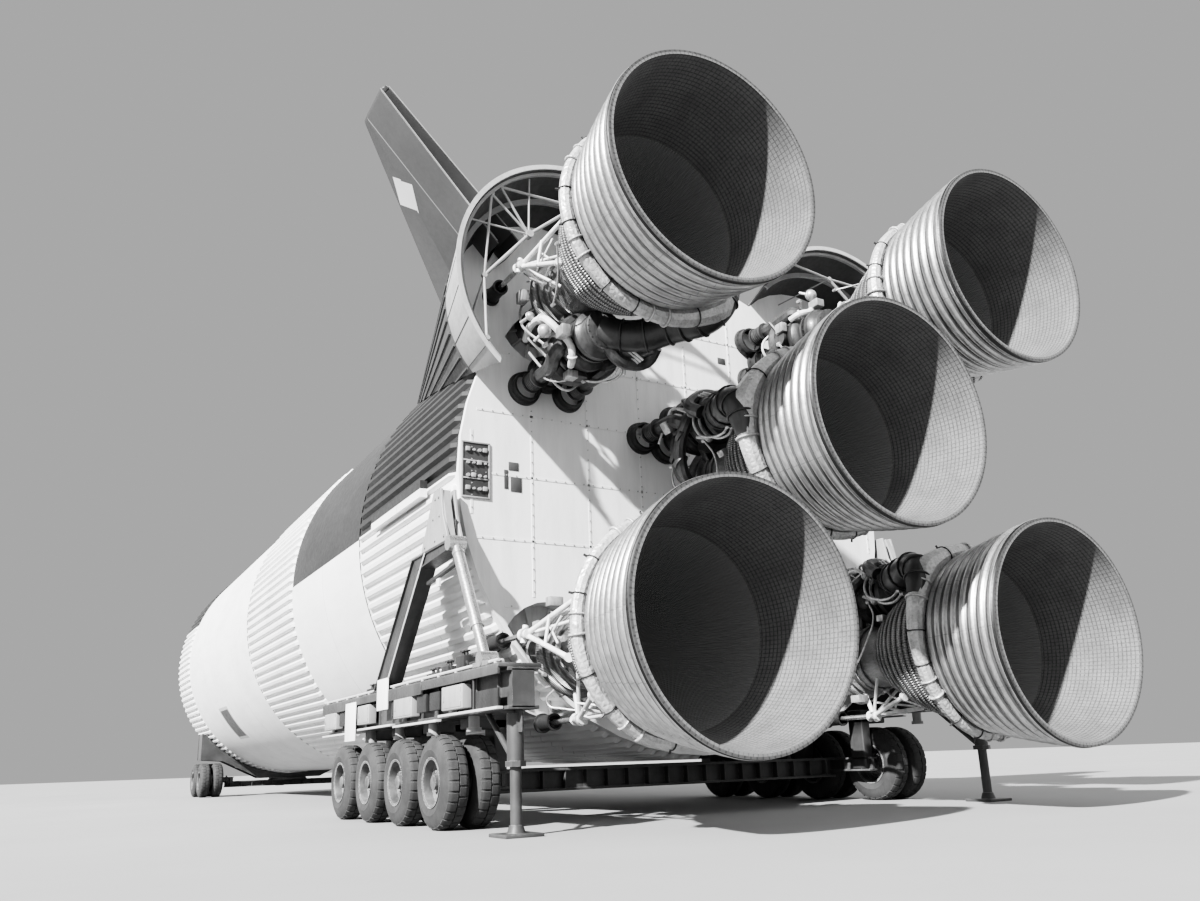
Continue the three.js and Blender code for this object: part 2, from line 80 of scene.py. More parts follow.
# One hoop band: how far along its pitch each ring is, and how far it stands out
HOOP_PROFILE = [(0.10, 0.008), (0.20, 0.034), (0.34, 0.061), (0.50, 0.067), (0.66, 0.056), (0.79, 0.028),
                (0.90, 0.006), (1.0, 0.0)]
OUTRIGGER_X = -1.15
OUTRIGGER_R = 1.15
OUTRIGGER_FOOT_X = -2.35
PUMP_Z = 1.18
# Each tank line: its Y and Z beside the engine, and its radius
TANK_LINES = ((0.0, PUMP_Z, 0.20), (0.46, 1.54, 0.15), (-0.46, 1.54, 0.15))
TUBES = 178
# Each engine's place across the stage and the way its pump faces, in degrees from port towards the top
ENGINES = {
    "centre": (0.0, 0.0, 60),
    "top_port": (ENGINE_OFFSET, ENGINE_OFFSET, -90),
    "top_starboard": (-ENGINE_OFFSET, ENGINE_OFFSET, 0),
    "bottom_port": (ENGINE_OFFSET, -ENGINE_OFFSET, 180),
    "bottom_starboard": (-ENGINE_OFFSET, -ENGINE_OFFSET, 90),
}

ENGINE_CIRCLE_R = 4.623
HOLE_R = 1.0
HOLE_FLOOR_X = 0.73
LINE_END_X = 0.178
SHIELD_PANEL = 1.1956
LUG_FACE_Y = 5.11
# The equipment bay's lowest and highest Y and Z
BAY = (4.46, 4.95, -0.47, 0.52)

FAIRING_AFT_X = -1.308
FAIRING_R = 2.39
FAIRING_NOSE_R = 0.5
FAIRING_WALL = 0.06
FAIRING_LENGTH = THRUST_END_X - FAIRING_AFT_X
TRUSS_HUB_Y = 5.93
FIN_TIP_R = 9.6
FIN_MARK = (0.96, 8.16)
FIN_MARK_HALF = 0.42

TYRE_R = 0.75
TYRE_HALF = 0.225
TYRE_Y = 0.275
TREAD_STEPS = 112
HUB_R = 0.33
RIM_FACE_Y = 0.50
AXLE_Z = GROUND_Z + TYRE_R
AFT_AXLE_X = 0.45
AFT_AXLE_STEP = 1.817
AFT_WHEEL_Y = 4.9
DOLLY_X = 34.8
DOLLY_AXLE_OFFSET = 0.95
DOLLY_WHEEL_Y = 3.7
CROSS_BEAM_X = (1.3585, 4.9925)
DECK_Z = -3.64
DECK_UNDER_Z = -3.70
GIRDER_Z = -4.30
TOW_Z = -5.54
LOCKER_FACE_Y = 5.40
JACK_PLACE = (-2.0, 5.0)
SUPPORT_Y = (5.1135, 5.4075)
STRUT_Y = 5.26
SADDLE_R = RIB_CREST_R + 0.02
SADDLE_TOP_Z = -3.2
PORT_STARBOARD = (("port", 1), ("starboard", -1))

# The camera in the part's own frame: its place, its yaw, pitch and roll in degrees, and its lens and upward shift in
# the photograph's pixels
CAMERA_PLACE = (-15.3555, 5.573, 0.4995)
CAMERA_TURN = (-30.40, 15.08, -2.017)
CAMERA_LENS_PIXELS = 965.85
CAMERA_SHIFT_PIXELS = 50
PHOTO_WIDTH = 1200
SENSOR_WIDTH = 36.0
TOWARD_SUN = (-0.356, 0.738, 0.573)

TINY = 0.0001
SMOOTH_BELOW = 35
ACROSS_X = (0, math.pi / 2, 0)


# Modelling by hand: every piece starts as a primitive at its size and place


def begin(piece=None):
    """Object mode with nothing selected but the piece"""
    if bpy.context.object and bpy.context.object.mode != "OBJECT":
        bpy.ops.object.mode_set(mode="OBJECT")
    bpy.ops.object.select_all(action="DESELECT")
    if piece:
        piece.select_set(True)
        bpy.context.view_layer.objects.active = piece


def start_editing(piece):
    begin(piece)
    bpy.ops.object.mode_set(mode="EDIT")
    bpy.ops.mesh.select_all(action="SELECT")


def stop_editing(angle=SMOOTH_BELOW):
    """Back to object mode, smooth across all edges flatter than the angle"""
    bpy.ops.object.mode_set(mode="OBJECT")
    bpy.ops.object.shade_smooth_by_angle(angle=math.radians(angle))
    return bpy.context.object


def face_outward():
    """In edit mode, turns all faces outward"""
    bpy.ops.mesh.select_all(action="SELECT")
    bpy.ops.mesh.normals_make_consistent(inside=False)


def select(piece, kind, wanted):
    """In edit mode, selects the corners (VERT) or faces (FACE) that pass the test"""
    bpy.ops.mesh.select_mode(type=kind)
    bpy.ops.mesh.select_all(action="DESELECT")
    bpy.ops.object.mode_set(mode="OBJECT")
    for element in piece.data.vertices if kind == "VERT" else piece.data.polygons:
        element.select = bool(wanted(element))
    bpy.ops.object.mode_set(mode="EDIT")


def primitive(add, **settings):
    """A new primitive made by one of Blender's operators, with its place applied to its mesh"""
    begin()
    add(**settings)
    bpy.ops.object.transform_apply()
    return bpy.context.object


def turned(outline, sides, closed=True, angle=SMOOTH_BELOW):
    """A shell turned about the X axis, each ring extruded from the last.

    A ring is its place along X and its radius, and may have the Y of its centre too.
    """
    rings = [(ring + (0.0,))[:3] for ring in outline]
    x, radius, centre = rings[0]
    start_editing(primitive(bpy.ops.mesh.primitive_circle_add, vertices=sides, radius=max(radius, TINY),
                            location=(x, centre, 0), rotation=ACROSS_X))
    for next_x, next_radius, next_centre in rings[1:] + (rings[:1] if closed else []):
        bpy.ops.mesh.extrude_edges_move(TRANSFORM_OT_translate={"value": (next_x - x, next_centre - centre, 0)})
        growth = max(next_radius, TINY) / max(radius, TINY)
        bpy.ops.transform.resize(value=(1, growth, growth), center_override=(next_x, next_centre, 0))
        x, radius, centre = next_x, next_radius, next_centre
    bpy.ops.mesh.select_all(action="SELECT")
    bpy.ops.mesh.remove_doubles(threshold=0.0004)
    face_outward()
    return stop_editing(angle)


def block(low, high, bevel=0.01, segments=2):
    """A box from its lowest to its highest corner, with its edges broken"""
    size = [b - a for a, b in zip(low, high)]
    start_editing(primitive(bpy.ops.mesh.primitive_cube_add, size=1, scale=size,
                            location=[(a + b) / 2 for a, b in zip(low, high)]))
    if bevel:
        bpy.ops.mesh.bevel(offset=min(bevel, 0.45 * min(size)), segments=segments, affect="EDGES")
    return stop_editing()


def plate(corners, low_y, high_y, bevel=0.008):
    """A flat plate cut to its corners, given as X and Z"""
    piece = primitive(bpy.ops.mesh.primitive_circle_add, vertices=len(corners), radius=1, fill_type="NGON")
    for corner, (x, z) in zip(piece.data.vertices, corners):
        corner.co = (x, low_y, z)
    start_editing(piece)
    bpy.ops.mesh.extrude_region_move(TRANSFORM_OT_translate={"value": (0, high_y - low_y, 0)})
    face_outward()
    if bevel:
        bpy.ops.mesh.bevel(offset=bevel, segments=1, affect="EDGES")
    return stop_editing()


def pipe(points, radius, sides=12, radii=None, ring=False):
    """A bent pipe through the points, its radius one number, or one for each point"""
    begin()
    bpy.ops.curve.primitive_bezier_curve_add()
    line = bpy.context.object.data
    spline = line.splines[0]
    spline.bezier_points.add(len(points) - 2)
    for i, (knot, point) in enumerate(zip(spline.bezier_points, points)):
        knot.co = point
        knot.handle_left_type = knot.handle_right_type = "AUTO"
        knot.radius = radii[i] if radii else 1
    spline.use_cyclic_u = ring
    line.bevel_depth = radius
    line.bevel_resolution = sides // 4 - 1
    line.use_fill_caps = not ring
    line.resolution_u = 6
    bpy.ops.object.convert(target="MESH")
    start_editing(bpy.context.object)
    bpy.ops.mesh.remove_doubles(threshold=TINY)
    return stop_editing()


def rod(start, end, radius, sides=12, end_radius=None):
    """A straight round bar between two points"""
    along = Vector(end) - Vector(start)
    piece = primitive(
        bpy.ops.mesh.primitive_cone_add, vertices=sides, radius1=radius,
        radius2=radius if end_radius is None else end_radius, depth=along.length,
        location=(Vector(start) + Vector(end)) / 2, rotation=along.to_track_quat("Z", "Y").to_euler(),
    )
    bpy.ops.object.shade_smooth_by_angle(angle=math.radians(SMOOTH_BELOW))
    return piece


def torus(place, rotation, radius, tube, sides, tube_sides):
    piece = primitive(bpy.ops.mesh.primitive_torus_add, major_segments=sides, minor_segments=tube_sides,
                      major_radius=radius, minor_radius=tube, location=place, rotation=rotation)
    bpy.ops.object.shade_smooth()
    return piece


def hoop(x, radius, tube, sides=96, centre=(0.0, 0.0)):
    """A round hoop about the engine's axis or about a line beside it"""
    return torus((x, *centre), ACROSS_X, radius, tube, sides, 8)


def clamp_ring(points, index, radius, tube):
    """A band round a bent pipe at one of its points"""
    along = Vector(points[(index + 1) % len(points)]) - Vector(points[index - 1])
    return torus(points[index], along.to_track_quat("Z", "Y").to_euler(), radius, tube, 20, 6)


def joined(*pieces):
    """Several pieces, given one by one or in lists, as one object"""
    flat = [piece for group in pieces for piece in (group if isinstance(group, list) else [group])]
    begin(flat[0])
    for piece in flat:
        piece.select_set(True)
    if len(flat) > 1:
        bpy.ops.object.join()
    return bpy.context.object


def copied(piece, place):
    """A copy with its own mesh, moved by a matrix"""
    twin = piece.copy()
    twin.data = piece.data.copy()
    twin.data.transform(place)
    bpy.context.collection.objects.link(twin)
    return twin


def moved(piece, x=0.0, y=0.0, z=0.0):
    piece.data.transform(Matrix.Translation((x, y, z)))
    return piece


def around_x(degrees, y=0.0, z=0.0):
    return Matrix.Translation((0, y, z)) @ Matrix.Rotation(math.radians(degrees), 4, "X")


def polar(x, radius, degrees):
    """A point at a distance from the X axis, turned from +Y towards +Z"""
    angle = math.radians(degrees)
    return (x, radius * math.cos(angle), radius * math.sin(angle))


def dress(piece, name, material, body="stage", slot="engine_metal", replaces=()):
    """Names a finished full-size piece and puts it at the model's scale, with its finish and the body it rides on"""
    piece.name = piece.data.name = name
    piece.data.transform(STAGE_PLACE)
    piece.data.materials.clear()
    piece.data.materials.append(material)
    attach(piece, body)
    if replaces:
        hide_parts(*replaces)


def bell_radius(x):
    """Inner radius of the bell, a curve that opens fast below the throat and then flattens"""
    low, high = 0.0, 1.0
    for _ in range(40):
        t = (low + high) / 2
        here = (1 - t) ** 2 * THROAT_X + 2 * t * (1 - t) * (THROAT_X - 1.0) + t * t * EXIT_X
        low, high = (t, high) if here > x else (low, t)
    return (1 - low) ** 2 * THROAT_R + 2 * low * (1 - low) * 1.39 + low * low * EXIT_R


# Finishes


class Nodes:
    """Adds shader nodes to a tree: a value is a number, a colour or another node's output"""

    def __init__(self, tree):
        self.tree = tree

    def add(self, kind, settings=None, **inputs):
        node = self.tree.nodes.new("ShaderNode" + kind)
        for name, value in (settings or {}).items():
            setattr(node, name, value)
        for name, value in inputs.items():
            self.set(node, name.replace("_", " "), value)
        return node

    def set(self, node, name, value):
        socket = node.inputs[name]
        if isinstance(value, bpy.types.NodeSocket):
            self.tree.links.new(value, socket)
        else:
            socket.default_value = value

    def fill(self, node, *values):
        """Sets a node's first inputs in their order"""
        for i, value in enumerate(values):
            self.set(node, i, value)
        return node.outputs

    def math(self, operation, *values):
        return self.fill(self.add("Math", {"operation": operation}), *values)[0]

    def vector(self, operation, *values):
        outputs = self.fill(self.add("VectorMath", {"operation": operation}), *values)
        return outputs["Vector" if operation == "MULTIPLY" else "Value"]

    def attribute(self, name, output="Fac"):
        return self.add("Attribute", {"attribute_name": name}).outputs[output]

    def between(self, value, low, high):
        """1 where the value lies between two limits"""
        return self.math("MULTIPLY", self.math("GREATER_THAN", value, low), self.math("LESS_THAN", value, high))

    def apart(self, value, middle):
        return self.math("ABSOLUTE", self.math("SUBTRACT", value, middle))

    def fade(self, value, low, high, to_low=0.0, to_high=1.0):
        return self.fill(self.add("MapRange", {"clamp": True}), value, low, high, to_low, to_high)[0]

    def mix(self, factor, a, b):
        """Mixes two colours, where a plain number is a grey"""
        node = self.add("Mix", {"data_type": "RGBA"})
        self.set(node, 0, factor)
        for socket, shade in ((6, a), (7, b)):
            self.set(node, socket, (shade, shade, shade, 1.0) if isinstance(shade, float) else shade)
        return node.outputs[2]

    def noise(self, vector, scale, detail, roughness):
        return self.add("TexNoise", Vector=vector, Scale=scale, Detail=detail, Roughness=roughness).outputs["Fac"]

    def group(self, name, **inputs):
        node = self.tree.nodes.new("ShaderNodeGroup")
        node.node_tree = GROUPS[name]
        for socket, value in inputs.items():
            self.set(node, socket.replace("_", " "), value)
        return node.outputs


def station(nodes, given):
    """Where a point of the stage is: full-size metres forward of the gimbal plane, and degrees from port to the top"""
    here = nodes.add("TexCoord").outputs["Object"]
    place = nodes.add("Mapping", {"vector_type": "TEXTURE"}, Vector=here, Location=STAGE_ORIGIN,
                      Scale=(MODEL_SCALE,) * 3).outputs[0]
    parts = nodes.add("SeparateXYZ", Vector=place).outputs
    angle = nodes.math("DEGREES", nodes.math("ARCTAN2", parts["Z"], parts["Y"]))
    return {"Station": parts["X"], "Angle": angle, "Place": place}


def engine_turn(nodes, given):
    """A place about an engine's own axis as its way along and its angle"""
    parts = nodes.add("SeparateXYZ", Vector=given["Place"]).outputs
    return {"Along": parts["X"], "Angle": nodes.math("DEGREES", nodes.math("ARCTAN2", parts["Z"], parts["Y"]))}


def grime(nodes, given):
    """Dirt in broad patches, in fine grain and in runs along one direction"""
    place = given["Place"]
    scale = nodes.math("DIVIDE", 1.0, given["Patch Size"])
    broad = nodes.noise(place, scale, 5.0, 0.6)
    grain = nodes.noise(place, nodes.math("MULTIPLY", scale, 14.0), 3.0, 0.7)
    stretched = nodes.vector("MULTIPLY", place, given["Run Direction"])
    runs = nodes.noise(stretched, nodes.math("MULTIPLY", scale, 5.0), 4.0, 0.65)
    return {"Patches": nodes.fade(broad, 0.38, 0.68), "Grain": grain, "Runs": nodes.fade(runs, 0.45, 0.75)}


def seams(nodes, given):
    """Lines that repeat at a pitch along one value"""
    cells = nodes.math("DIVIDE", given["Value"], given["Pitch"])
    away = nodes.math("MULTIPLY", nodes.apart(cells, nodes.math("ROUND", cells)), given["Pitch"])
    return {"Line": nodes.math("LESS_THAN", away, nodes.math("MULTIPLY", given["Width"], 0.5))}


def worn_edge(nodes, given):
    """Where an edge is near, found from how far a rounded normal leans from the true one"""
    rounded = nodes.add("Bevel", {"samples": 4}, Radius=given["Width"]).outputs[0]
    lean = nodes.vector("DOT_PRODUCT", rounded, nodes.add("NewGeometry").outputs["Normal"])
    return {"Edge": nodes.fade(lean, 0.98, 0.75)}


def new_group(make, **inputs):
    """An effect as a node group: its inputs with their defaults, and the outputs that a function makes of them"""
    tree = bpy.data.node_groups.new(make.__name__, "ShaderNodeTree")

    def new_socket(name, direction, is_number):
        kind = "NodeSocketFloat" if is_number else "NodeSocketVector"
        return tree.interface.new_socket(name, in_out=direction, socket_type=kind)

    for name, default in inputs.items():
        new_socket(name.replace("_", " "), "INPUT", isinstance(default, float)).default_value = default
    nodes = Nodes(tree)
    given, out = tree.nodes.new("NodeGroupInput"), tree.nodes.new("NodeGroupOutput")
    for name, value in make(nodes, given.outputs).items():
        new_socket(name, "OUTPUT", value.type == "VALUE")
        nodes.set(out, name, value)
    return tree


NOWHERE = (0.0, 0.0, 0.0)
GROUPS = {
    "engine_turn": new_group(engine_turn, Place=NOWHERE),
    "station": new_group(station),
    "grime": new_group(grime, Place=NOWHERE, Patch_Size=1.0, Run_Direction=(1.0, 1.0, 1.0)),
    "seams": new_group(seams, Value=0.0, Pitch=1.0, Width=0.02),
    "worn_edge": new_group(worn_edge, Width=0.02),
}


class Surface(Nodes):
    """A material of grey shades laid over each other, with dirt in patches, grain and runs.

    Its pattern follows the stage, or with on_engine each engine's own axis.
    """

    def __init__(self, name, patch=None, run=(1.0, 1.0, 1.0), metallic=0.0, specular=0.5, on_engine=False):
        self.material = bpy.data.materials.new(name)
        self.material.use_nodes = True
        super().__init__(self.material.node_tree)
        self.shader = self.tree.nodes["Principled BSDF"]
        self.set(self.shader, "Metallic", metallic)
        self.set(self.shader, "Specular IOR Level", specular)
        if not patch:
            return
        if on_engine:
            self.place = self.attribute("engine_place", "Vector")
            turn = self.group("engine_turn", Place=self.place)
            self.along, self.angle = turn["Along"], turn["Angle"]
        else:
            where = self.group("station")
            self.along, self.angle, self.place = where["Station"], where["Angle"], where["Place"]
        dirt = self.group("grime", Place=self.place, Patch_Size=patch, Run_Direction=run)
        self.patches, self.grain, self.runs = dirt["Patches"], dirt["Grain"], dirt["Runs"]

    def line(self, value, start, pitch, width):
        """Lines along a value, counted from a start"""
        return self.group("seams", Value=self.math("SUBTRACT", value, start), Pitch=pitch, Width=width)["Line"]

    def layered(self, shade, *layers):
        """A shade with others over it, each with where it shows and, unless it covers, how strongly"""
        for where, over, *strength in layers:
            shade = self.mix(self.math("MULTIPLY", where, strength[0]) if strength else where, shade, over)
        return shade

    def rough(self, low, high):
        """A roughness that goes between two values with the grain"""
        return self.fade(self.grain, 0.3, 0.7, low, high)

    def finish(self, colour, rough, bump, height=None):
        """Sets the colour, the roughness as two limits or a value, and the bump's strength, depth and height"""
        self.set(self.shader, "Base Color", colour)
        self.set(self.shader, "Roughness", self.rough(*rough) if isinstance(rough, tuple) else rough)
        relief = self.add("Bump", Strength=bump[0], Distance=bump[1], Height=self.grain if height is None else height)
        self.set(self.shader, "Normal", relief.outputs[0])
        return self.material


def stage_paint():
    """White stage skin with its black quadrants, section joints, dull runs and patches, and a dark slot"""
    paint = Surface("stage_paint", 2.2, (0.25, 1.0, 1.0), specular=0.35)

    def area(low_angle, high_angle, aft_x, fore_x):
        return paint.math("MULTIPLY", paint.between(paint.angle, low_angle, high_angle),
                          paint.between(paint.along, aft_x, fore_x))

    black = area(0.0, 90.0, -2.0, FUEL_END_X)
    black = paint.math("MAXIMUM", black, area(-181.0, -90.0, -2.0, FUEL_END_X))
    black = paint.math("MAXIMUM", black, area(20.0, 160.0, LOX_END_X, SKIRT_END_X + 1))
    white = paint.layered(
        0.84, (paint.patches, 0.76), (paint.runs, 0.58, 0.4),
        (paint.line(paint.along, THRUST_END_X, 3.265, 0.035), 0.35, 0.45),
        (area(-47.0, -29.0, 26.4, 28.3), 0.45), (area(-45.5, -30.5, 26.55, 28.15), 0.05),
    )
    dark = paint.layered(0.024, (paint.patches, 0.034), (paint.runs, 0.06, 0.2))
    return paint.finish(paint.mix(black, white, dark), (0.42, 0.62), (0.15, 0.004))


def plain_metal(name, light, dark, rough_low, rough_high, metallic=0.85, patch=0.5):
    """Bare or primed metal with stains and a brushed grain"""
    metal = Surface(name, patch, (1.0, 1.0, 0.2), metallic)
    colour = metal.layered(light, (metal.patches, (light + dark) / 2), (metal.runs, dark, 0.8))
    return metal.finish(colour, (rough_low, rough_high), (0.2, 0.003))


def worn_paint(name, shade, worn_shade, rough=0.55, patch=0.8, edge_width=0.008):
    """Painted steel, rubbed at its edges and dusty in patches"""
    paint = Surface(name, patch, (1.0, 1.0, 0.15))
    edge = paint.group("worn_edge", Width=edge_width)["Edge"]
    rubbed = paint.math("MULTIPLY", edge, paint.fade(paint.grain, 0.42, 0.6))
    colour = paint.layered(shade, (paint.patches, (shade + worn_shade) / 2, 0.5), (paint.runs, shade * 0.6, 0.4),
                           (rubbed, worn_shade))
    return paint.finish(colour, (rough - 0.1, rough + 0.15), (0.2, 0.002))


def fairing_paint():
    """Fairing skin: pale aft of the base, black forward of it, dark inside as painted shade, with a pale lip round the
    opening
    """
    paint = Surface("fairing_paint", 1.2, (0.3, 1.0, 1.0))
    dark = paint.layered(0.040, (paint.patches, 0.075))
    pale = paint.layered(0.40, (paint.patches, 0.30))
    colour = paint.layered(
        dark, (paint.math("LESS_THAN", paint.along, 0.22), pale),
        # The inner face is darkened: painted shade
        (paint.math("GREATER_THAN", paint.attribute("inside_fairing"), 0.5), dark),
        (paint.math("LESS_THAN", paint.along, FAIRING_AFT_X + 0.02), 0.45), (paint.runs, 0.10, 0.35),
    )
    return paint.finish(colour, (0.45, 0.7), (0.15, 0.003))


def fin_paint():
    """Fin: dark side faces with one joint line and a blank white diamond, and a blunt trailing face painted pale as
    painted light
    """
    paint = Surface("fin_paint", 1.6)
    height = paint.vector("LENGTH", paint.vector("MULTIPLY", paint.place, (0.0, 1.0, 1.0)))
    lean = paint.math("MULTIPLY", paint.math("SUBTRACT", height, 6.2), 0.015)
    from_mark = paint.math("ADD", paint.apart(paint.along, FIN_MARK[0]), paint.apart(height, FIN_MARK[1]))
    colour = paint.layered(
        0.085, (paint.patches, 0.105), (paint.runs, 0.06, 0.2), (paint.between(paint.along, 0.338, 0.362), 0.40, 0.8),
        (paint.math("LESS_THAN", from_mark, FIN_MARK_HALF), 0.80),
        # The blunt trailing face painted paler than the dark sides: painted light, as if lit
        (paint.math("LESS_THAN", paint.math("ADD", paint.along, lean), -0.470), 0.42),
    )
    return paint.finish(colour, (0.45, 0.65), (0.12, 0.003))


def skirt_metal():
    """Nozzle skirt: weathered alloy outside with stains along its hoops, painted shade in the valleys between them and
    beside the lip, sooty shingled liner inside
    """
    metal = Surface("nozzle_skirt_metal", 0.5, (4.0, 0.7, 0.7), on_engine=True)
    inside = metal.math("GREATER_THAN", metal.attribute("inside_bell"), 0.5)
    outside = metal.math("SUBTRACT", 1.0, inside)
    columns = metal.line(metal.angle, 0.0, 2.4, 0.6)
    shingles = metal.math("MAXIMUM", metal.line(metal.along, 0.0, 0.070, 0.020),
                          metal.math("MULTIPLY", columns, 0.75))
    broken = metal.math("MULTIPLY", shingles, metal.fade(metal.grain, 0.34, 0.56, 0.25, 0.95))
    liner = metal.layered(0.165, (metal.patches, 0.115), (broken, 0.05), (metal.runs, 0.08, 0.35))
    rivets = metal.math("MULTIPLY", metal.line(metal.angle, 0.0, 3.0, 0.7),
                        metal.line(metal.along, EXTENSION_X - 0.01, HOOP_PITCH, 0.022))
    hoops = metal.layered(
        0.46, (metal.patches, 0.32), (metal.runs, 0.15, 0.75),
        # Darker in the valleys between the hoop bands: painted shade
        (metal.line(metal.along, EXTENSION_X, HOOP_PITCH, 0.085), 0.07, 0.75),
        (metal.line(metal.angle, 0.0, 30.0, 0.5), 0.12, 0.4), (rivets, 0.06, 0.7),
        # A near-black band just forward of the lip's flange: painted shade
        (metal.between(metal.along, EXIT_X + 0.028, EXIT_X + 0.075), 0.03),
    )
    height = metal.math("SUBTRACT", metal.math("MULTIPLY", metal.grain, 0.3),
                        metal.math("MULTIPLY", shingles, inside))
    metal.set(metal.shader, "Metallic", metal.math("MULTIPLY", outside, 0.85))
    rough = metal.math("ADD", metal.rough(0.30, 0.48), metal.math("MULTIPLY", inside, 0.35))
    return metal.finish(metal.mix(outside, liner, hoops), rough, (0.35, 0.004), height)


def tube_metal():
    """Chamber wall of brazed tubes laid along the bell, dull and stained, with painted shade in the grooves between the
    tubes; sooty inside, but painted lighter there to make up for the shade deep in the bell
    """
    metal = Surface("chamber_tube_metal", 0.4, (0.5, 2.0, 2.0), on_engine=True)
    wave = metal.math("COSINE", metal.math("MULTIPLY", metal.math("RADIANS", metal.angle), TUBES))
    inside = metal.math("GREATER_THAN", metal.attribute("inside_bell"), 0.5)
    # Darker in the grooves between the tubes: painted shade. Inside, the grey is raised: painted light for the shade
    # deep in the bell
    colour = metal.layered(0.32, (metal.patches, 0.19), (metal.fade(wave, -0.4, -1.0), 0.05, 0.6),
                           (metal.runs, 0.10, 0.6), (inside, 0.21))
    metal.set(metal.shader, "Metallic", metal.math("MULTIPLY", metal.math("SUBTRACT", 1.0, inside), 0.8))
    return metal.finish(colour, (0.34, 0.55), (0.6, 0.006), wave)


def wrapped_metal():
    """Light foil-wrapped duct: crinkled and stained"""
    metal = Surface("wrapped_duct", 0.25, metallic=0.35, on_engine=True)
    crinkle = metal.add("TexVoronoi", {"feature": "DISTANCE_TO_EDGE"}, Vector=metal.place, Scale=11.0)
    colour = metal.layered(0.56, (metal.patches, 0.40), (metal.runs, 0.20, 0.7))
    return metal.finish(colour, (0.35, 0.55), (0.45, 0.02), crinkle.outputs["Distance"])


STAGE_PAINT = stage_paint()
WRAP_METAL = wrapped_metal()
SKIRT_METAL = skirt_metal()
TUBE_METAL = tube_metal()
FAIRING_PAINT = fairing_paint()
FIN_PAINT = fin_paint()
# Metals: lighter shade, darker shade, smoothest, roughest
PUMP_METAL = plain_metal("pump_casting", 0.09, 0.03, 0.30, 0.55, metallic=0.6)
DUCT_METAL = plain_metal("duct_metal", 0.10, 0.035, 0.28, 0.50, metallic=0.65, patch=0.3)
LIGHT_TUBE = plain_metal("pale_tube_paint", 0.82, 0.45, 0.40, 0.60, metallic=0.1)
FITTING_METAL = plain_metal("fitting_metal", 0.55, 0.12, 0.30, 0.60, metallic=0.6, patch=0.25)
SOOTY_DUCT = plain_metal("sooty_duct", 0.050, 0.022, 0.30, 0.50, metallic=0.4)
DARK_METAL = plain_metal("dark_clamp_metal", 0.05, 0.02, 0.40, 0.60, metallic=0.5)
GIMBAL_STEEL = plain_metal("gimbal_steel", 0.35, 0.12, 0.35, 0.55)
WELL_COAT = plain_metal("well_shadow_coat", 0.62, 0.45, 0.6, 0.8, metallic=0.0)
STRUT_STEEL = plain_metal("strut_steel", 0.62, 0.35, 0.22, 0.38, metallic=0.9)
# Paints: shade, shade where worn, roughness, size of the patches
SHIELD_COAT = worn_paint("heat_shield_coat", 0.84, 0.7, 0.75, 1.5)
BLACK_PAINT = worn_paint("black_fairing_paint", 0.045, 0.2, 0.5, 1.5)
FRAME_PAINT = worn_paint("transporter_frame_paint", 0.040, 0.2, 0.5, 0.8)
SUPPORT_PAINT = worn_paint("support_paint", 0.032, 0.15, 0.45, 0.8)
RIM_PAINT = worn_paint("wheel_rim_paint", 0.055, 0.50, 0.5, 0.3, 0.014)
TRIM_PAINT = worn_paint("deck_trim_paint", 0.55, 0.3, 0.5, 0.6)
LOCKER_PAINT = worn_paint("locker_paint", 0.30, 0.50, 0.5, 0.5)
HEAD_PAINT = worn_paint("support_head_paint", 0.26, 0.45, 0.5, 0.5)
# White of the blank panels, also used for the painted highlight down the support leg's edge
PALE_PANEL_AND_HIGHLIGHT = worn_paint("white_panels_and_painted_highlight", 0.85, 0.6, 0.5, 0.5)
RUBBER = worn_paint("tyre_rubber", 0.03, 0.12, 0.8, 0.4)

# The solids that stay in sight; every other one is replaced
for start, finish in (("umbilical_tunnel", STAGE_PAINT), ("base_heat_shield", SHIELD_COAT),
                      ("gimbal_cross", GIMBAL_STEEL)):
    for node_name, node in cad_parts.items():
        if node_name.startswith(start):
            node.data.materials.clear()
            node.data.materials.append(finish)


# Camera, floor and light


def add_camera():
    """The photograph's place and lens: 15 m off the stage's port quarter, at eye height above the ground"""
    yaw, pitch, roll = [math.radians(degrees) for degrees in CAMERA_TURN]
    ahead = Vector((math.cos(yaw) * math.cos(pitch), math.sin(yaw) * math.cos(pitch), math.sin(pitch)))
    level_right = ahead.cross(Vector((0, 0, 1))).normalized()
    level_up = level_right.cross(ahead)
    right = math.cos(roll) * level_right + math.sin(roll) * level_up
    up = -math.sin(roll) * level_right + math.cos(roll) * level_up
    begin()
    bpy.ops.object.camera_add()
    camera = bpy.context.object
    camera.name = "photograph_camera"
    turn = Matrix((right, up, -ahead)).transposed().to_4x4()
    camera.matrix_world = Matrix.Translation(CAMERA_PLACE) @ turn
    camera.data.sensor_width = SENSOR_WIDTH
    camera.data.lens = CAMERA_LENS_PIXELS / PHOTO_WIDTH * SENSOR_WIDTH
    camera.data.shift_y = CAMERA_SHIFT_PIXELS / PHOTO_WIDTH
    camera.data.clip_start = 0.05
    camera.data.clip_end = 500
    bpy.context.scene.camera = camera


def add_floor():
    floor = primitive(bpy.ops.mesh.primitive_plane_add, size=400, location=(0, 0, 0))
    floor.name = "pale_floor"
    ground = Surface("pale_floor", specular=0.2)
    tone = ground.noise(ground.add("TexCoord").outputs["Object"], 0.35, 5.0, 0.6)
    bounced = ground.add("LightPath").outputs["Is Diffuse Ray"]
    ground.set(ground.shader, "Base Color", ground.mix(bounced, ground.mix(tone, 0.26, 0.33), 0.10))
    ground.set(ground.shader, "Roughness", 0.9)
    floor.data.materials.append(ground.material)


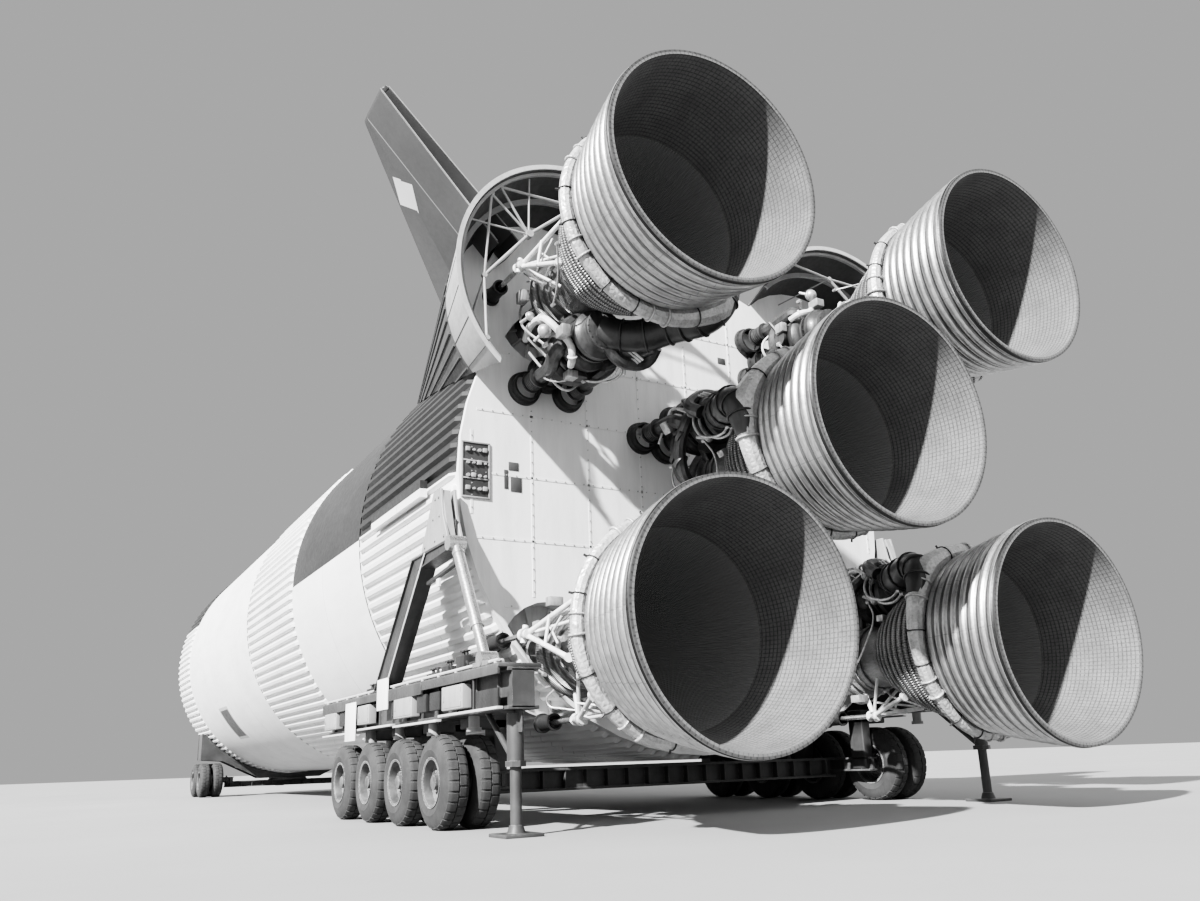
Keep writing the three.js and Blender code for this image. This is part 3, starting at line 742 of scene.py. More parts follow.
def add_light():
    begin()
    bpy.ops.object.light_add(type="SUN")
    sun = bpy.context.object
    sun.name = "soft_key"
    sun.data.energy = 16.0
    sun.data.angle = math.radians(1.5)
    sun.rotation_euler = Vector(TOWARD_SUN).to_track_quat("Z", "Y").to_euler()
    world = bpy.data.worlds.new("studio")
    world.use_nodes = True
    bpy.context.scene.world = world
    bpy.context.scene.view_settings.look = "AgX - Medium High Contrast"
    nodes = Nodes(world.node_tree)
    seen = nodes.add("LightPath").outputs["Is Camera Ray"]
    nodes.set(world.node_tree.nodes["Background"], "Color", nodes.mix(seen, 1.10, 0.41))


# Stage body


def ribbed_section(aft_x, fore_x, inner_r=None):
    """A length of skin with hat ribs that stop short of both ends"""
    edge, foot = aft_x + RIB_MARGIN, aft_x + RIB_MARGIN + RIB_SLOPE
    places = [aft_x, edge, foot, fore_x - RIB_MARGIN - RIB_SLOPE, fore_x - RIB_MARGIN, fore_x]
    outline = [(x, SKIN_R) for x in places]
    if inner_r:
        outline += [(fore_x, inner_r), (aft_x, inner_r)]
    piece = turned(outline, RIBS * 6, closed=bool(inner_r))
    start_editing(piece)

    def on_crest(corner):
        x, y, z = corner.co
        phase = (math.degrees(math.atan2(z, y)) / (360 / RIBS)) % 1
        inside = edge + 0.01 < x < fore_x - RIB_MARGIN - 0.01
        return inside and math.hypot(y, z) > SKIN_R - 0.05 and min(phase, 1 - phase) < 0.2

    select(piece, "VERT", on_crest)
    growth = RIB_CREST_R / SKIN_R
    bpy.ops.transform.resize(value=(1, growth, growth), center_override=(0, 0, 0))
    return stop_editing(25)


def add_body():
    dome = [polar(LOX_END_X, 1.0, i * 7.5) for i in range(1, 13)]
    shell = [(INTERTANK_END_X, TANK_R), (LOX_END_X, TANK_R), (LOX_END_X, DOME_R)]
    shell += [(x + DOME_HEIGHT * along, DOME_R * out) for x, out, along in dome]
    for node, name, piece, slot in (
        ("thrust_structure", "skin", ribbed_section(SHIELD_FORE_X, THRUST_END_X), "black_white_paint"),
        ("intertank", "skin", ribbed_section(FUEL_END_X, INTERTANK_END_X), "white_paint"),
        ("forward_skirt", "skin", ribbed_section(LOX_END_X, SKIRT_END_X, SKIRT_INNER_R), "white_paint"),
        ("fuel_tank", "skin", turned([(THRUST_END_X, TANK_R), (FUEL_END_X, TANK_R)], 192, closed=False),
         "black_white_paint"),
        ("lox_tank", "shell", turned(shell, 192, closed=False), "white_paint"),
    ):
        dress(piece, f"{node}_{name}", STAGE_PAINT, slot=slot, replaces=[node])


# Engines, modelled once about their own axis with the pump towards +Z


def keep_place(piece):
    """Remembers each corner's place about the engine's own axis, and whether it is inside the bell"""
    piece.data.attributes.new("engine_place", "FLOAT_VECTOR", "POINT")
    piece.data.attributes.new("inside_bell", "FLOAT", "POINT")
    places, marks = piece.data.attributes["engine_place"].data, piece.data.attributes["inside_bell"].data
    for spot, mark, corner in zip(places, marks, piece.data.vertices):
        spot.vector = corner.co
        wall = bell_radius(corner.co.x) + BELL_WALL / 2 if corner.co.x < THROAT_X else 0.5
        mark.value = float(math.hypot(corner.co.y, corner.co.z) < wall)


def bell_line(places, rise=0.0):
    """Points of an outline that follows the bell"""
    return [(x, bell_radius(x) + rise) for x in places]


def bolt_circle(x, radius, count, size, depth=0.03, centre=(0.0, 0.0)):
    """Bolt heads round a flange"""
    heads = []
    for i in range(count):
        _, y, z = polar(x, radius, 360 * i / count)
        y, z = y + centre[0], z + centre[1]
        heads.append(rod((x, y, z), (x + depth, y, z), size, sides=6))
    return heads


def nozzle_skirt():
    """The skirt of the bell: a thin wall with rolled hoop bands outside and a flanged lip"""
    outside = bell_line([EXTENSION_X], BELL_WALL + 0.02)
    for band in range(HOOP_BANDS):
        for part, rise in HOOP_PROFILE:
            outside += bell_line([EXTENSION_X - (band + part) * HOOP_PITCH], BELL_WALL + rise)
    lip = [(EXIT_X + 0.035, EXIT_R + 0.03), (EXIT_X + 0.03, EXIT_R + 0.07), (EXIT_X, EXIT_R + 0.07)]
    inside = bell_line((EXIT_X, -5.2, -4.9, -4.6, -4.3, -4.0, EXTENSION_X))
    return turned(outside[:-1] + lip + inside, 144, angle=50)


def chamber_wall():
    """Tube wall of the bell from the manifold to the injector, with its hat bands and dome"""
    outside = bell_line([EXTENSION_X + 0.005 + 0.12 * i for i in range(18)], BELL_WALL)
    outside += [
        (THROAT_X, THROAT_R + 0.10), (-1.5, 0.56), (-1.35, CHAMBER_R - 0.02), (-1.2, CHAMBER_R), (-0.98, CHAMBER_R),
        (-0.97, CHAMBER_R + 0.07), (-0.92, CHAMBER_R + 0.07), (-0.91, CHAMBER_R + 0.01), (-0.72, CHAMBER_R + 0.01),
        (-0.71, CHAMBER_R + 0.08), (-0.62, CHAMBER_R + 0.08), (INJECTOR_X, CHAMBER_R - 0.02), (-0.52, 0.52),
        (-0.46, 0.42), (DOME_TOP_X, 0.30), (DOME_TOP_X, 0.0),
    ]
    inside = [(-0.70, 0.0), (-0.70, 0.5), (-1.25, 0.5), (THROAT_X, THROAT_R)]
    inside += bell_line([THROAT_X - 0.15 * i for i in range(1, 14)])
    inside.append((EXTENSION_X + 0.005, bell_radius(EXTENSION_X)))
    return joined(
        turned(outside + inside, 96, angle=40),
        [hoop(x, bell_radius(x) + BELL_WALL + 0.012, 0.030)
         for x in (-1.85, -2.02, -2.2, -2.4, -2.6, -2.8, -3.0, -3.18, -3.38)],
        [hoop(x, CHAMBER_R + 0.005, 0.028) for x in (-1.12, -1.3)],
        bolt_circle(-0.62, CHAMBER_R + 0.045, 36, 0.018),
        hoop(-0.80, CHAMBER_R + 0.06, 0.095, sides=64),
    )


def manifold_tube(degrees):
    """Radius of the manifold's tube at an angle about the engine"""
    away = abs((degrees - ELBOW_ANGLE + 180) % 360 - 180)
    for (near, wide), (far, narrow) in zip(MANIFOLD_TUBE, MANIFOLD_TUBE[1:]):
        if away <= far:
            return wide + (narrow - wide) * (away - near) / (far - near)


def exhaust_manifold():
    """Tapering ring of exhaust pipe round the bell, with its light flanges and dark clamps"""
    angles = [ELBOW_ANGLE + 10 * i for i in range(36)]
    radii = [manifold_tube(angle) for angle in angles]
    wall = bell_radius(MANIFOLD_X) + BELL_WALL + 0.01
    points = [polar(MANIFOLD_X, wall + tube, angle) for angle, tube in zip(angles, radii)]
    ring, clamps = [pipe(points, 1.0, sides=16, radii=radii, ring=True)], []
    for i in range(2, 35, 2):
        if i % 6 == 4:
            ring.append(clamp_ring(points, i, radii[i] + 0.014, 0.022))
            ring.append(clamp_ring(points, i + 1, radii[i + 1] + 0.010, 0.016))
            continue
        clamps.append(clamp_ring(points, i, radii[i] + 0.003, 0.012))
        outward = Vector((0.06, *Vector(points[i][1:]).normalized() * (radii[i] + 0.05)))
        clamps.append(rod(points[i], Vector(points[i]) + outward, 0.018, sides=6))
    return joined(ring), joined(clamps)


def outrigger(angle):
    """Tube frame that carries an actuator's pin out from the chamber"""
    foot_r = bell_radius(OUTRIGGER_FOOT_X) + 0.10
    halfway = ((OUTRIGGER_X + OUTRIGGER_FOOT_X) / 2, (OUTRIGGER_R + foot_r) / 2)

    def at(x, radius=OUTRIGGER_R, turn=0.0):
        return polar(x, radius, angle + turn)

    hub = at(OUTRIGGER_X)
    parts = [
        rod(at(OUTRIGGER_X - 0.12), at(OUTRIGGER_X + 0.12), 0.085),
        rod(at(OUTRIGGER_X, OUTRIGGER_R + 0.03, -7), at(OUTRIGGER_X, OUTRIGGER_R + 0.03, 7), 0.05),
        hoop(OUTRIGGER_X + 0.1, 0.085, 0.02, sides=20, centre=hub[1:]),
    ]
    for turn in (-26, 26):
        parts += [
            rod(hub, at(OUTRIGGER_FOOT_X, foot_r, turn), 0.042),
            rod(at(-2.3, foot_r - 0.02, turn), at(-2.4, foot_r + 0.02, turn), 0.07),
            rod(hub, at(-1.55, 0.60, turn * 1.3), 0.030),
        ]
    parts += [rod(hub, at(-0.85, CHAMBER_R - 0.02), 0.042), rod(at(*halfway, -13), at(*halfway, 13), 0.026)]
    for rise in (-0.25, 0.25):
        parts.append(rod(at(OUTRIGGER_X - 0.6 + rise, 1.0, -12), at(OUTRIGGER_X - 0.55 - rise, 0.98, 14), 0.018, 8))
    return parts


def pump_body():
    """Two pumps and their turbine on one shaft, beside the chamber"""
    outline = [
        (-0.43, 0.0), (-0.43, 0.245), (-0.47, 0.245), (-0.47, 0.205), (-0.60, 0.205), (-0.66, 0.27), (-0.72, 0.33),
        (-0.76, 0.43), (-0.82, 0.48), (-0.92, 0.49), (-1.00, 0.45), (-1.04, 0.38), (-1.10, 0.36), (-1.10, 0.44),
        (-1.15, 0.44), (-1.15, 0.37), (-1.22, 0.39), (-1.26, 0.46), (-1.33, 0.50), (-1.43, 0.50), (-1.50, 0.44),
        (-1.53, 0.36), (-1.60, 0.34), (-1.60, 0.43), (-1.65, 0.43), (-1.65, 0.34), (-1.69, 0.40), (-1.75, 0.45),
        (-1.85, 0.45), (-1.91, 0.38), (-1.97, 0.36), (-2.04, 0.33), (-2.04, 0.355), (-2.09, 0.355), (-2.12, 0.31),
        (-2.12, 0.0),
    ]
    parts = [moved(turned(outline, 48, closed=False), z=PUMP_Z)]
    # Volutes: place along the shaft, first angle and widest radius
    for x, first, widest in ((-0.88, 200, 0.16), (-1.38, 20, 0.15)):
        scroll = [Vector(polar(x, 0.36 + 0.012 * i, first + 28 * i)) + Vector((0, 0, PUMP_Z)) for i in range(12)]
        parts.append(pipe(scroll, 1.0, radii=[0.07 + (widest - 0.07) * i / 11 for i in range(12)]))
    for x, radius, count in ((-0.47, 0.225, 16), (-1.15, 0.41, 24), (-1.65, 0.40, 24), (-2.09, 0.33, 20)):
        parts += bolt_circle(x - 0.025, radius, count, 0.014, depth=0.09, centre=(0.0, PUMP_Z))
    for y in (-0.25, 0.25):
        parts.append(block((-1.2, y - 0.06, PUMP_Z - 0.62), (-1.05, y + 0.06, 0.95), 0.02))
    for low, high, radius in ((0.0, 0.52, 0.12), (0.50, 0.56, 0.15)):
        parts.append(rod((-1.13, 0.0, PUMP_Z + low), (-1.13, 0.0, PUMP_Z + high), radius, sides=20))
    return joined(parts)


def suction_bellows(y, z, radius, aft_x, fore_x):
    """A short bellows that joins a pump to its tank line"""
    ripples = 5
    pitch = (fore_x - aft_x - 0.07) / ripples
    outline = [(aft_x, radius + 0.05), (aft_x + 0.03, radius + 0.05), (aft_x + 0.035, radius)]
    for i in range(ripples):
        for part, rise in ((0.3, 0.028), (0.7, 0.028), (1.0, 0.0)):
            outline.append((aft_x + 0.035 + (i + part) * pitch, radius + rise))
    outline += [(fore_x - 0.03, radius + 0.05), (fore_x, radius + 0.05), (fore_x, radius - 0.03),
                (aft_x, radius - 0.03)]
    return moved(turned(outline, 32), y=y, z=z)


def pressure_ducts():
    """Ducts from the pumps to the injector, the suction bellows and the gas generator"""
    parts = [
        suction_bellows(*TANK_LINES[0], -0.46, -0.14),
        pipe([(-0.86, 0.38, 1.25), (-0.90, 0.62, 1.10), (-0.84, 0.74, 0.82), (-0.66, 0.64, 0.52), (-0.55, 0.45, 0.34),
              (-0.52, 0.28, 0.20)], 0.105, sides=16),
        pipe([(-1.45, 0.30, 1.56), (-1.50, 0.58, 1.42), (-1.32, 0.80, 1.14), (-1.16, 0.90, 0.80), (-1.02, 0.86, 0.48),
              (-0.92, 0.74, 0.26), (-0.84, 0.64, 0.10)], 0.115, sides=16),
    ]
    for y, z, radius in TANK_LINES[:0:-1]:
        side = math.copysign(1, y)
        parts.append(pipe([(-1.36, side * 0.42, 1.28), (-1.30, side * 0.55, 1.42), (-1.06, side * 0.50, 1.52),
                           (-0.80, y, z), (-0.50, y, z)], 0.14, sides=16))
        parts.append(suction_bellows(y, z, radius, -0.50, -0.16))
    parts.append(pipe([(-1.95, -0.10, 1.28), (-2.0, 0.10, 1.44), (-2.0, 0.29, 1.63), (-2.0, 0.59, 1.68),
                       (-2.05, 0.86, 1.60), (-2.3, 0.90, 1.42)], 0.12, sides=16))
    parts.append(pipe([(-1.9, 0.20, 1.35), (-2.1, 0.50, 1.45), (-2.4, 0.75, 1.40)], 0.20, sides=20))
    for x, y, z, radius in ((-0.90, 0.74, 0.90, 0.145), (-1.16, 0.90, 0.80, 0.155), (-1.36, 0.76, 1.20, 0.155)):
        parts.append(rod((x - 0.02, y, z - 0.03), (x + 0.02, y, z + 0.03), radius, sides=20))
    return joined(parts)


def exhaust_duct():
    """Heat exchanger and elbow that lead the turbine's exhaust to the manifold"""
    points = [(-1.98, 0, PUMP_Z), (-2.20, 0.28, 1.30), (-2.45, 0.60, 1.32), (-2.75, 0.88, 1.26), (-3.05, 1.03, 1.28),
              (-3.35, 1.14, 1.33), (-3.56, 1.25, 1.27), (-3.68, 1.40, 1.06), (-3.70, 1.52, 0.76)]
    radii = [0.30, 0.28, 0.285, 0.285, 0.285, 0.26, 0.24, 0.21, 0.15]
    bands = [clamp_ring(points, i, radii[i] + 0.008, 0.020) for i in range(1, 8)]
    return joined(pipe(points, 1.0, sides=20, radii=radii), bands)


ARCH = [(-0.4, -0.69, 0.82), (-0.8, -0.78, 0.73), (-1.2, -0.76, 0.76), (-1.5, -0.74, 0.96), (-1.6, -0.60, 1.17),
        (-1.65, -0.45, 1.36), (-1.6, -0.38, 1.57), (-1.4, -0.31, 1.65)]
BUNDLE = [(-1.6, -0.24, 0.90), (-2.0, -0.06, 0.91), (-2.2, 0.05, 1.16), (-2.2, 0.28, 1.47), (-2.2, 0.63, 1.71)]
TOP_LINES = [
    [(-0.8, -0.84, 0.98), (-0.8, -0.49, 1.26), (-0.8, -0.09, 1.56), (-0.8, 0.26, 1.67)],
    [(-0.6, -0.73, 1.15), (-0.6, -0.39, 1.48), (-0.6, 0.01, 1.76), (-0.6, 0.28, 1.61), (-0.6, 0.72, 1.28)],
]
SMALL_LINES = [
    [(-2.0, 0.30, 1.50), (-1.9, 0.60, 1.40), (-1.95, 0.75, 1.10), (-2.2, 0.78, 0.90), (-2.5, 0.80, 0.85),
     (-2.9, 0.95, 0.95)],
    [(-2.0, 0.36, 1.56), (-1.86, 0.68, 1.46), (-1.90, 0.84, 1.12), (-2.2, 0.86, 0.95), (-2.5, 0.88, 0.92),
     (-2.9, 1.03, 1.0)],
    [(-1.1, 0.12, 1.74), (-1.3, 0.30, 1.80), (-1.6, 0.42, 1.76), (-1.9, 0.40, 1.66)],
    [(-1.1, -0.12, 1.74), (-1.0, -0.34, 1.80), (-0.8, -0.50, 1.70), (-0.62, -0.44, 1.50)],
    [(-0.62, 0.66, 0.0), (-0.55, 0.80, 0.30), (-0.50, 0.72, 0.60), (-0.60, 0.50, 0.85)],
    [(-0.62, -0.66, 0.0), (-0.55, -0.84, 0.26), (-0.66, -0.90, 0.60), (-1.0, -0.95, 0.95), (-1.4, -0.80, 1.35)],
    [(-0.75, -0.60, -0.40), (-0.60, -0.82, -0.50), (-0.85, -0.95, -0.30), (-1.2, -0.98, 0.0), (-1.6, -0.90, 0.3)],
    [(-1.2, 0.62, -0.20), (-1.5, 0.80, -0.10), (-1.9, 0.95, 0.20), (-2.1, 0.92, 0.60), (-1.9, 0.80, 0.95)],
    [(-1.7, 0.44, 1.40), (-1.6, 0.62, 1.62), (-1.3, 0.60, 1.72), (-1.0, 0.40, 1.66), (-0.85, 0.30, 1.60)],
    [(-1.95, -0.92, 0.86), (-2.15, -0.95, 0.66), (-2.35, -1.02, 0.40), (-2.6, -1.16, 0.10)],
    [(-0.70, 0.30, -0.66), (-0.62, 0.10, -0.84), (-0.70, -0.20, -0.82), (-0.85, -0.40, -0.66)],
    [(-1.35, 0.0, -0.66), (-1.6, 0.10, -0.80), (-1.95, 0.05, -0.92), (-2.3, 0.0, -1.06)],
]
# Junction boxes: lowest corner and size
SMALL_BOXES = (
    ((-1.00, 0.52, 1.36), (0.20, 0.14, 0.24)), ((-1.86, -0.70, 1.10), (0.26, 0.16, 0.20)),
    ((-0.86, -0.98, 0.05), (0.24, 0.16, 0.22)), ((-1.62, 0.86, 0.20), (0.30, 0.14, 0.18)),
    ((-0.80, 0.76, -0.50), (0.18, 0.16, 0.26)), ((-1.30, -0.30, 1.66), (0.22, 0.20, 0.14)),
    ((-2.25, 0.72, 0.55), (0.16, 0.12, 0.12)), ((-1.05, 0.20, -0.86), (0.22, 0.26, 0.14)),
)
# Valves: place and radius
VALVES = ((-1.58, -0.90, 1.18, 0.12), (-0.72, 0.62, 0.70, 0.09), (-1.72, 0.62, 1.50, 0.08), (-0.95, -0.86, 0.62, 0.08),
          (-2.05, 0.80, 0.95, 0.07))


def light_ducts():
    """Pale arch over the chamber, the bundle of three pipes beside it, and the long lines over the pump"""
    return joined(
        pipe(ARCH, 0.065, sides=16),
        [clamp_ring(ARCH, index, 0.075, 0.018) for index in (2, 4, 6)],
        [pipe([(x + shift, y, z) for x, y, z in BUNDLE], 0.022, sides=8) for shift in (-0.08, 0.0, 0.08)],
        [pipe(line, 0.024, sides=8) for line in TOP_LINES],
        [block((x - 0.12, y - 0.015, z - 0.03), (x + 0.12, y + 0.015, z + 0.03), 0.005)
         for x, y, z in (BUNDLE[1], BUNDLE[3])],
    )


def actuator_rods():
    """Steel rod of each actuator, from its pin on the engine's outrigger up into the sleeve on the base"""
    parts = []
    for angle in ACTUATOR_ANGLES:
        foot, eye, neck, top = [polar(x, OUTRIGGER_R, angle)
                                for x in (OUTRIGGER_X, OUTRIGGER_X - 0.06, OUTRIGGER_X + 0.16, -0.02)]
        parts += [rod(foot, top, 0.045, sides=16), rod(eye, neck, 0.11, sides=20, end_radius=0.06)]
    return joined(parts)


def small_fittings():
    """Thin lines, valves, junction boxes and brackets that crowd the engine"""
    parts = []
    for i, line in enumerate(SMALL_LINES):
        thick = 0.026 if i < 2 else 0.016 + 0.004 * (i % 3)
        parts.append(pipe(line, thick, sides=8))
        for x, y, z in (line[0], line[-1]):
            parts.append(rod((x - 0.04, y, z), (x + 0.04, y, z), thick * 1.9, 8))
    parts += [block(low, [a + b for a, b in zip(low, size)], 0.015) for low, size in SMALL_BOXES]
    for x, y, z, radius in VALVES:
        parts.append(primitive(bpy.ops.mesh.primitive_uv_sphere_add, segments=16, ring_count=10, radius=radius,
                               location=(x, y, z)))
        bpy.ops.object.shade_smooth()
        parts += [hoop(x, radius * 0.95, 0.014, sides=20, centre=(y, z)),
                  rod((x, y, z), (x + 0.18, y * 1.12, z * 1.12), 0.03, sides=10)]
    for angle in range(130, 417, 22):
        parts.append(rod(polar(-0.78, CHAMBER_R + 0.1, angle), polar(-0.60, CHAMBER_R + 0.16, angle + 3), 0.016, 8))
    return joined(parts)


def gimbal_ears():
    """Clevis of the engine's top, above and below the gimbal cross; the same on each outboard engine"""
    parts = []
    for side in (-1, 1):
        low, high = sorted((side * 0.19, side * 0.26))
        parts += [block((-0.58, -0.11, low), (0.12, 0.11, high), 0.03, 3),
                  block((-0.50, -0.05, min(low, side * 0.30)), (-0.20, 0.05, max(high, side * 0.30)), 0.02)]
    seat = [(-0.44, 0.0), (-0.44, 0.34), (-0.36, 0.34), (-0.30, 0.20), (-0.24, 0.17), (-0.24, 0.0)]
    return joined(parts, turned(seat, 32, closed=False))


def centre_post():
    """Fixed mount of the centre engine"""
    return turned([(-0.45, 0.0), (-0.45, 0.36), (-0.38, 0.36), (-0.34, 0.27), (0.0, 0.24), (0.05, 0.30), (0.19, 0.30),
                   (0.19, 0.0)], 40, closed=False)


def add_engines():
    ring, clamps = exhaust_manifold()
    masters = [
        (nozzle_skirt(), "nozzle_skirt", SKIRT_METAL, "nozzle_extension"),
        (chamber_wall(), "chamber_wall", TUBE_METAL, "thrust_chamber"),
        (pump_body(), "pump_body", PUMP_METAL, "turbopump"),
        (ring, "exhaust_manifold", WRAP_METAL, None),
        (clamps, "manifold_clamps", DARK_METAL, None),
        (joined(*map(outrigger, ACTUATOR_ANGLES)), "actuator_frames", LIGHT_TUBE, None),
        (pressure_ducts(), "pressure_ducts", DUCT_METAL, None),
        (light_ducts(), "light_ducts", LIGHT_TUBE, None),
        (actuator_rods(), "actuator_rods", STRUT_STEEL, None),
        (exhaust_duct(), "exhaust_duct", SOOTY_DUCT, None),
        (small_fittings(), "small_fittings", FITTING_METAL, None),
    ]
    for master, *_ in masters:
        keep_place(master)
    ears, post = gimbal_ears(), centre_post()
    for place, (y, z, pump_angle) in ENGINES.items():
        body = "stage" if place == "centre" else f"engine_{place}"
        for master, name, metal, node in masters:
            slot = "pump_metal" if node in (None, "turbopump") else "engine_metal"
            dress(copied(master, around_x(pump_angle - 90, y, z)), f"{name}_{place}", metal, body, slot,
                  [f"{node}_{place}"] if node else [])
        top = copied(post if place == "centre" else ears, around_x(0, y, z))
        dress(top, f"gimbal_mount_{place}", GIMBAL_STEEL, body, "gimbal_steel")
    for master in [entry[0] for entry in masters] + [ears, post]:
        bpy.data.objects.remove(master)


# Base of the thrust structure


def base_hole_cup():
    """Well behind a hole of the base, with its rim and the webs across its floor"""
    well = turned([(SHIELD_FORE_X + 0.003, HOLE_R + 0.03), (SHIELD_FORE_X + 0.003, HOLE_R), (HOLE_FLOOR_X, HOLE_R),
                   (HOLE_FLOOR_X, 0.0)], 48, closed=False)
    web_x = HOLE_FLOOR_X - 0.03
    return joined(well, [rod(polar(web_x, 0.34, turn), polar(web_x, HOLE_R - 0.01, turn), 0.03, sides=6)
                         for turn in range(15, 375, 30)])


def gimbal_pad():
    """Fixed seat of an engine with the two ears that hold the gimbal cross"""
    parts = [turned([(0.19, 0.0), (0.19, 0.24), (0.21, 0.28), (0.26, 0.30), (0.60, 0.30), (0.66, 0.36),
                     (HOLE_FLOOR_X, 0.38), (HOLE_FLOOR_X, 0.0)], 40, closed=False)]
    for side in (-1, 1):
        low, high = sorted((side * 0.19, side * 0.26))
        parts += [block((-0.12, low, -0.11), (0.22, high, 0.11), 0.03, 3),
                  rod((0, side * 0.262, 0), (0, side * 0.287, 0), 0.075, sides=24)]
    return joined(parts, bolt_circle(0.165, 0.25, 16, 0.018))


def line_collars():
    """Collars in the base where an engine's tank lines go through"""
    section = [(-0.03, 0.09), (-0.03, 0.13), (0.10, 0.13), (0.12, 0.17), (LINE_END_X, 0.18), (LINE_END_X, 0.09)]
    parts = []
    for y, z, radius in TANK_LINES:
        parts.append(moved(turned([(x, radius + rise) for x, rise in section], 32), y=y, z=z))
        parts += bolt_circle(0.10, radius + 0.15, 16, 0.012, depth=0.045, centre=(y, z))
    return joined(parts)


def actuator_sleeves():
    """Wide sleeves with a collar on the base, that an outboard engine's actuator rods run up into"""
    outline = [(LINE_END_X, 0.13), (LINE_END_X, 0.17), (0.14, 0.17), (0.13, 0.135), (-0.24, 0.13), (-0.25, 0.145),
               (-0.30, 0.145), (-0.30, 0.112), (LINE_END_X, 0.112)]
    return joined([moved(turned(outline, 28), *polar(0, OUTRIGGER_R, angle)) for angle in ACTUATOR_ANGLES])


def side_lug(side):
    """Forged lug at the side of the thrust structure that the transporter lifts on"""
    low, high = sorted((side * 4.75, side * LUG_FACE_Y))
    bolts = [rod((x, side * (LUG_FACE_Y - 0.02), z), (x, side * (LUG_FACE_Y + 0.02), z), 0.03, sides=6)
             for x in (0.36, 0.80) for z in (-0.85, -0.60, -0.35)]
    return joined(block((0.283, low, -0.95), (0.90, high, -0.25), 0.05, 3), bolts)


def bay_frame():
    """Frame of the equipment bay in the base's port edge"""
    y0, y1, z0, z1 = BAY
    bars = ((y0 - 0.03, z0 - 0.03, y1 + 0.03, z0), (y0 - 0.03, z1, y1 + 0.03, z1 + 0.03), (y0 - 0.03, z0, y0, z1),
            (y1, z0, y1 + 0.03, z1))
    return joined([block((SHIELD_AFT_X - 0.03, *bar[:2]), (SHIELD_AFT_X + 0.02, *bar[2:]), 0.006) for bar in bars])


def bay_floor():
    y0, y1, z0, z1 = BAY
    return block((SHIELD_AFT_X - 0.012, y0, z0), (SHIELD_AFT_X + 0.01, y1, z1), 0.0)


def bay_fittings():
    """Shelves of the equipment bay, with rows of small fittings"""
    aft, (y0, y1, z0, _) = SHIELD_AFT_X, BAY
    parts = [block((aft - 0.03, y0, z - 0.012), (aft, y1, z + 0.012), 0.004) for z in (-0.14, 0.19)]
    for i in range(16):
        y, z = y0 + 0.07 + 0.11 * (i % 4), z0 + 0.14 + 0.24 * (i // 4)
        if i % 3:
            parts.append(rod((aft - 0.01, y, z), (aft - 0.06, y, z), 0.022 + 0.008 * (i % 2), sides=10))
        else:
            parts.append(block((aft - 0.05, y - 0.04, z - 0.03), (aft, y + 0.04, z + 0.05), 0.008))
    return joined(parts)


def base_covers():
    """Dark access covers, the same on both sides of the base"""
    parts = []
    for y0, y1, z0, z1 in ((4.07, 4.15, -0.26, 0.10), (3.80, 4.02, -0.30, -0.02), (3.86, 4.06, 0.10, 0.26),
                           (1.9, 2.1, -1.9, -1.76), (0.9, 1.1, 3.1, 3.24)):
        for low, high in ((y0, y1), (-y1, -y0)):
            parts.append(block((SHIELD_AFT_X - 0.012, low, z0), (SHIELD_AFT_X + 0.01, high, z1), 0.006))
    return joined(parts)


def base_seams():
    """Raised joint strips of the heat shield's panels, with their bolts, clear of the holes"""
    holes = [(y, z, HOLE_R + 0.08) for y, z, _ in ENGINES.values() if y] + [(0.0, 0.0, 0.36)]
    step = 0.13

    def free(y, z):
        return math.hypot(y, z) < 4.85 and all(math.hypot(y - a, z - b) > r for a, b, r in holes)

    head = rod((SHIELD_AFT_X - 0.018, 0, 0), (SHIELD_AFT_X, 0, 0), 0.014, sides=6)
    strips, heads = [], []
    for across in [SHIELD_PANEL * i for i in range(-4, 5)]:
        steps = [j for j in range(-38, 38) if free(across, j * step) and free(across, (j + 1) * step)]
        starts = [j * step for j in steps if j - 1 not in steps]
        ends = [(j + 1) * step for j in steps if j + 1 not in steps]
        for start, end in zip(starts, ends):
            low, high = (across - 0.022, start), (across + 0.022, end)
            count = int((end - start) / 0.20)
            bolts = [(across, start + (k + 0.5) * (end - start) / count) for k in range(count)]
            # Upright, and with Y and Z swapped lying
            for order in (1, -1):
                strips.append(block((SHIELD_AFT_X - 0.008, *low[::order]), (SHIELD_AFT_X + 0.004, *high[::order]), 0.0))
                heads += [copied(head, Matrix.Translation((0, *bolt[::order]))) for bolt in bolts]
    bpy.data.objects.remove(head)
    return joined(strips), joined(heads)


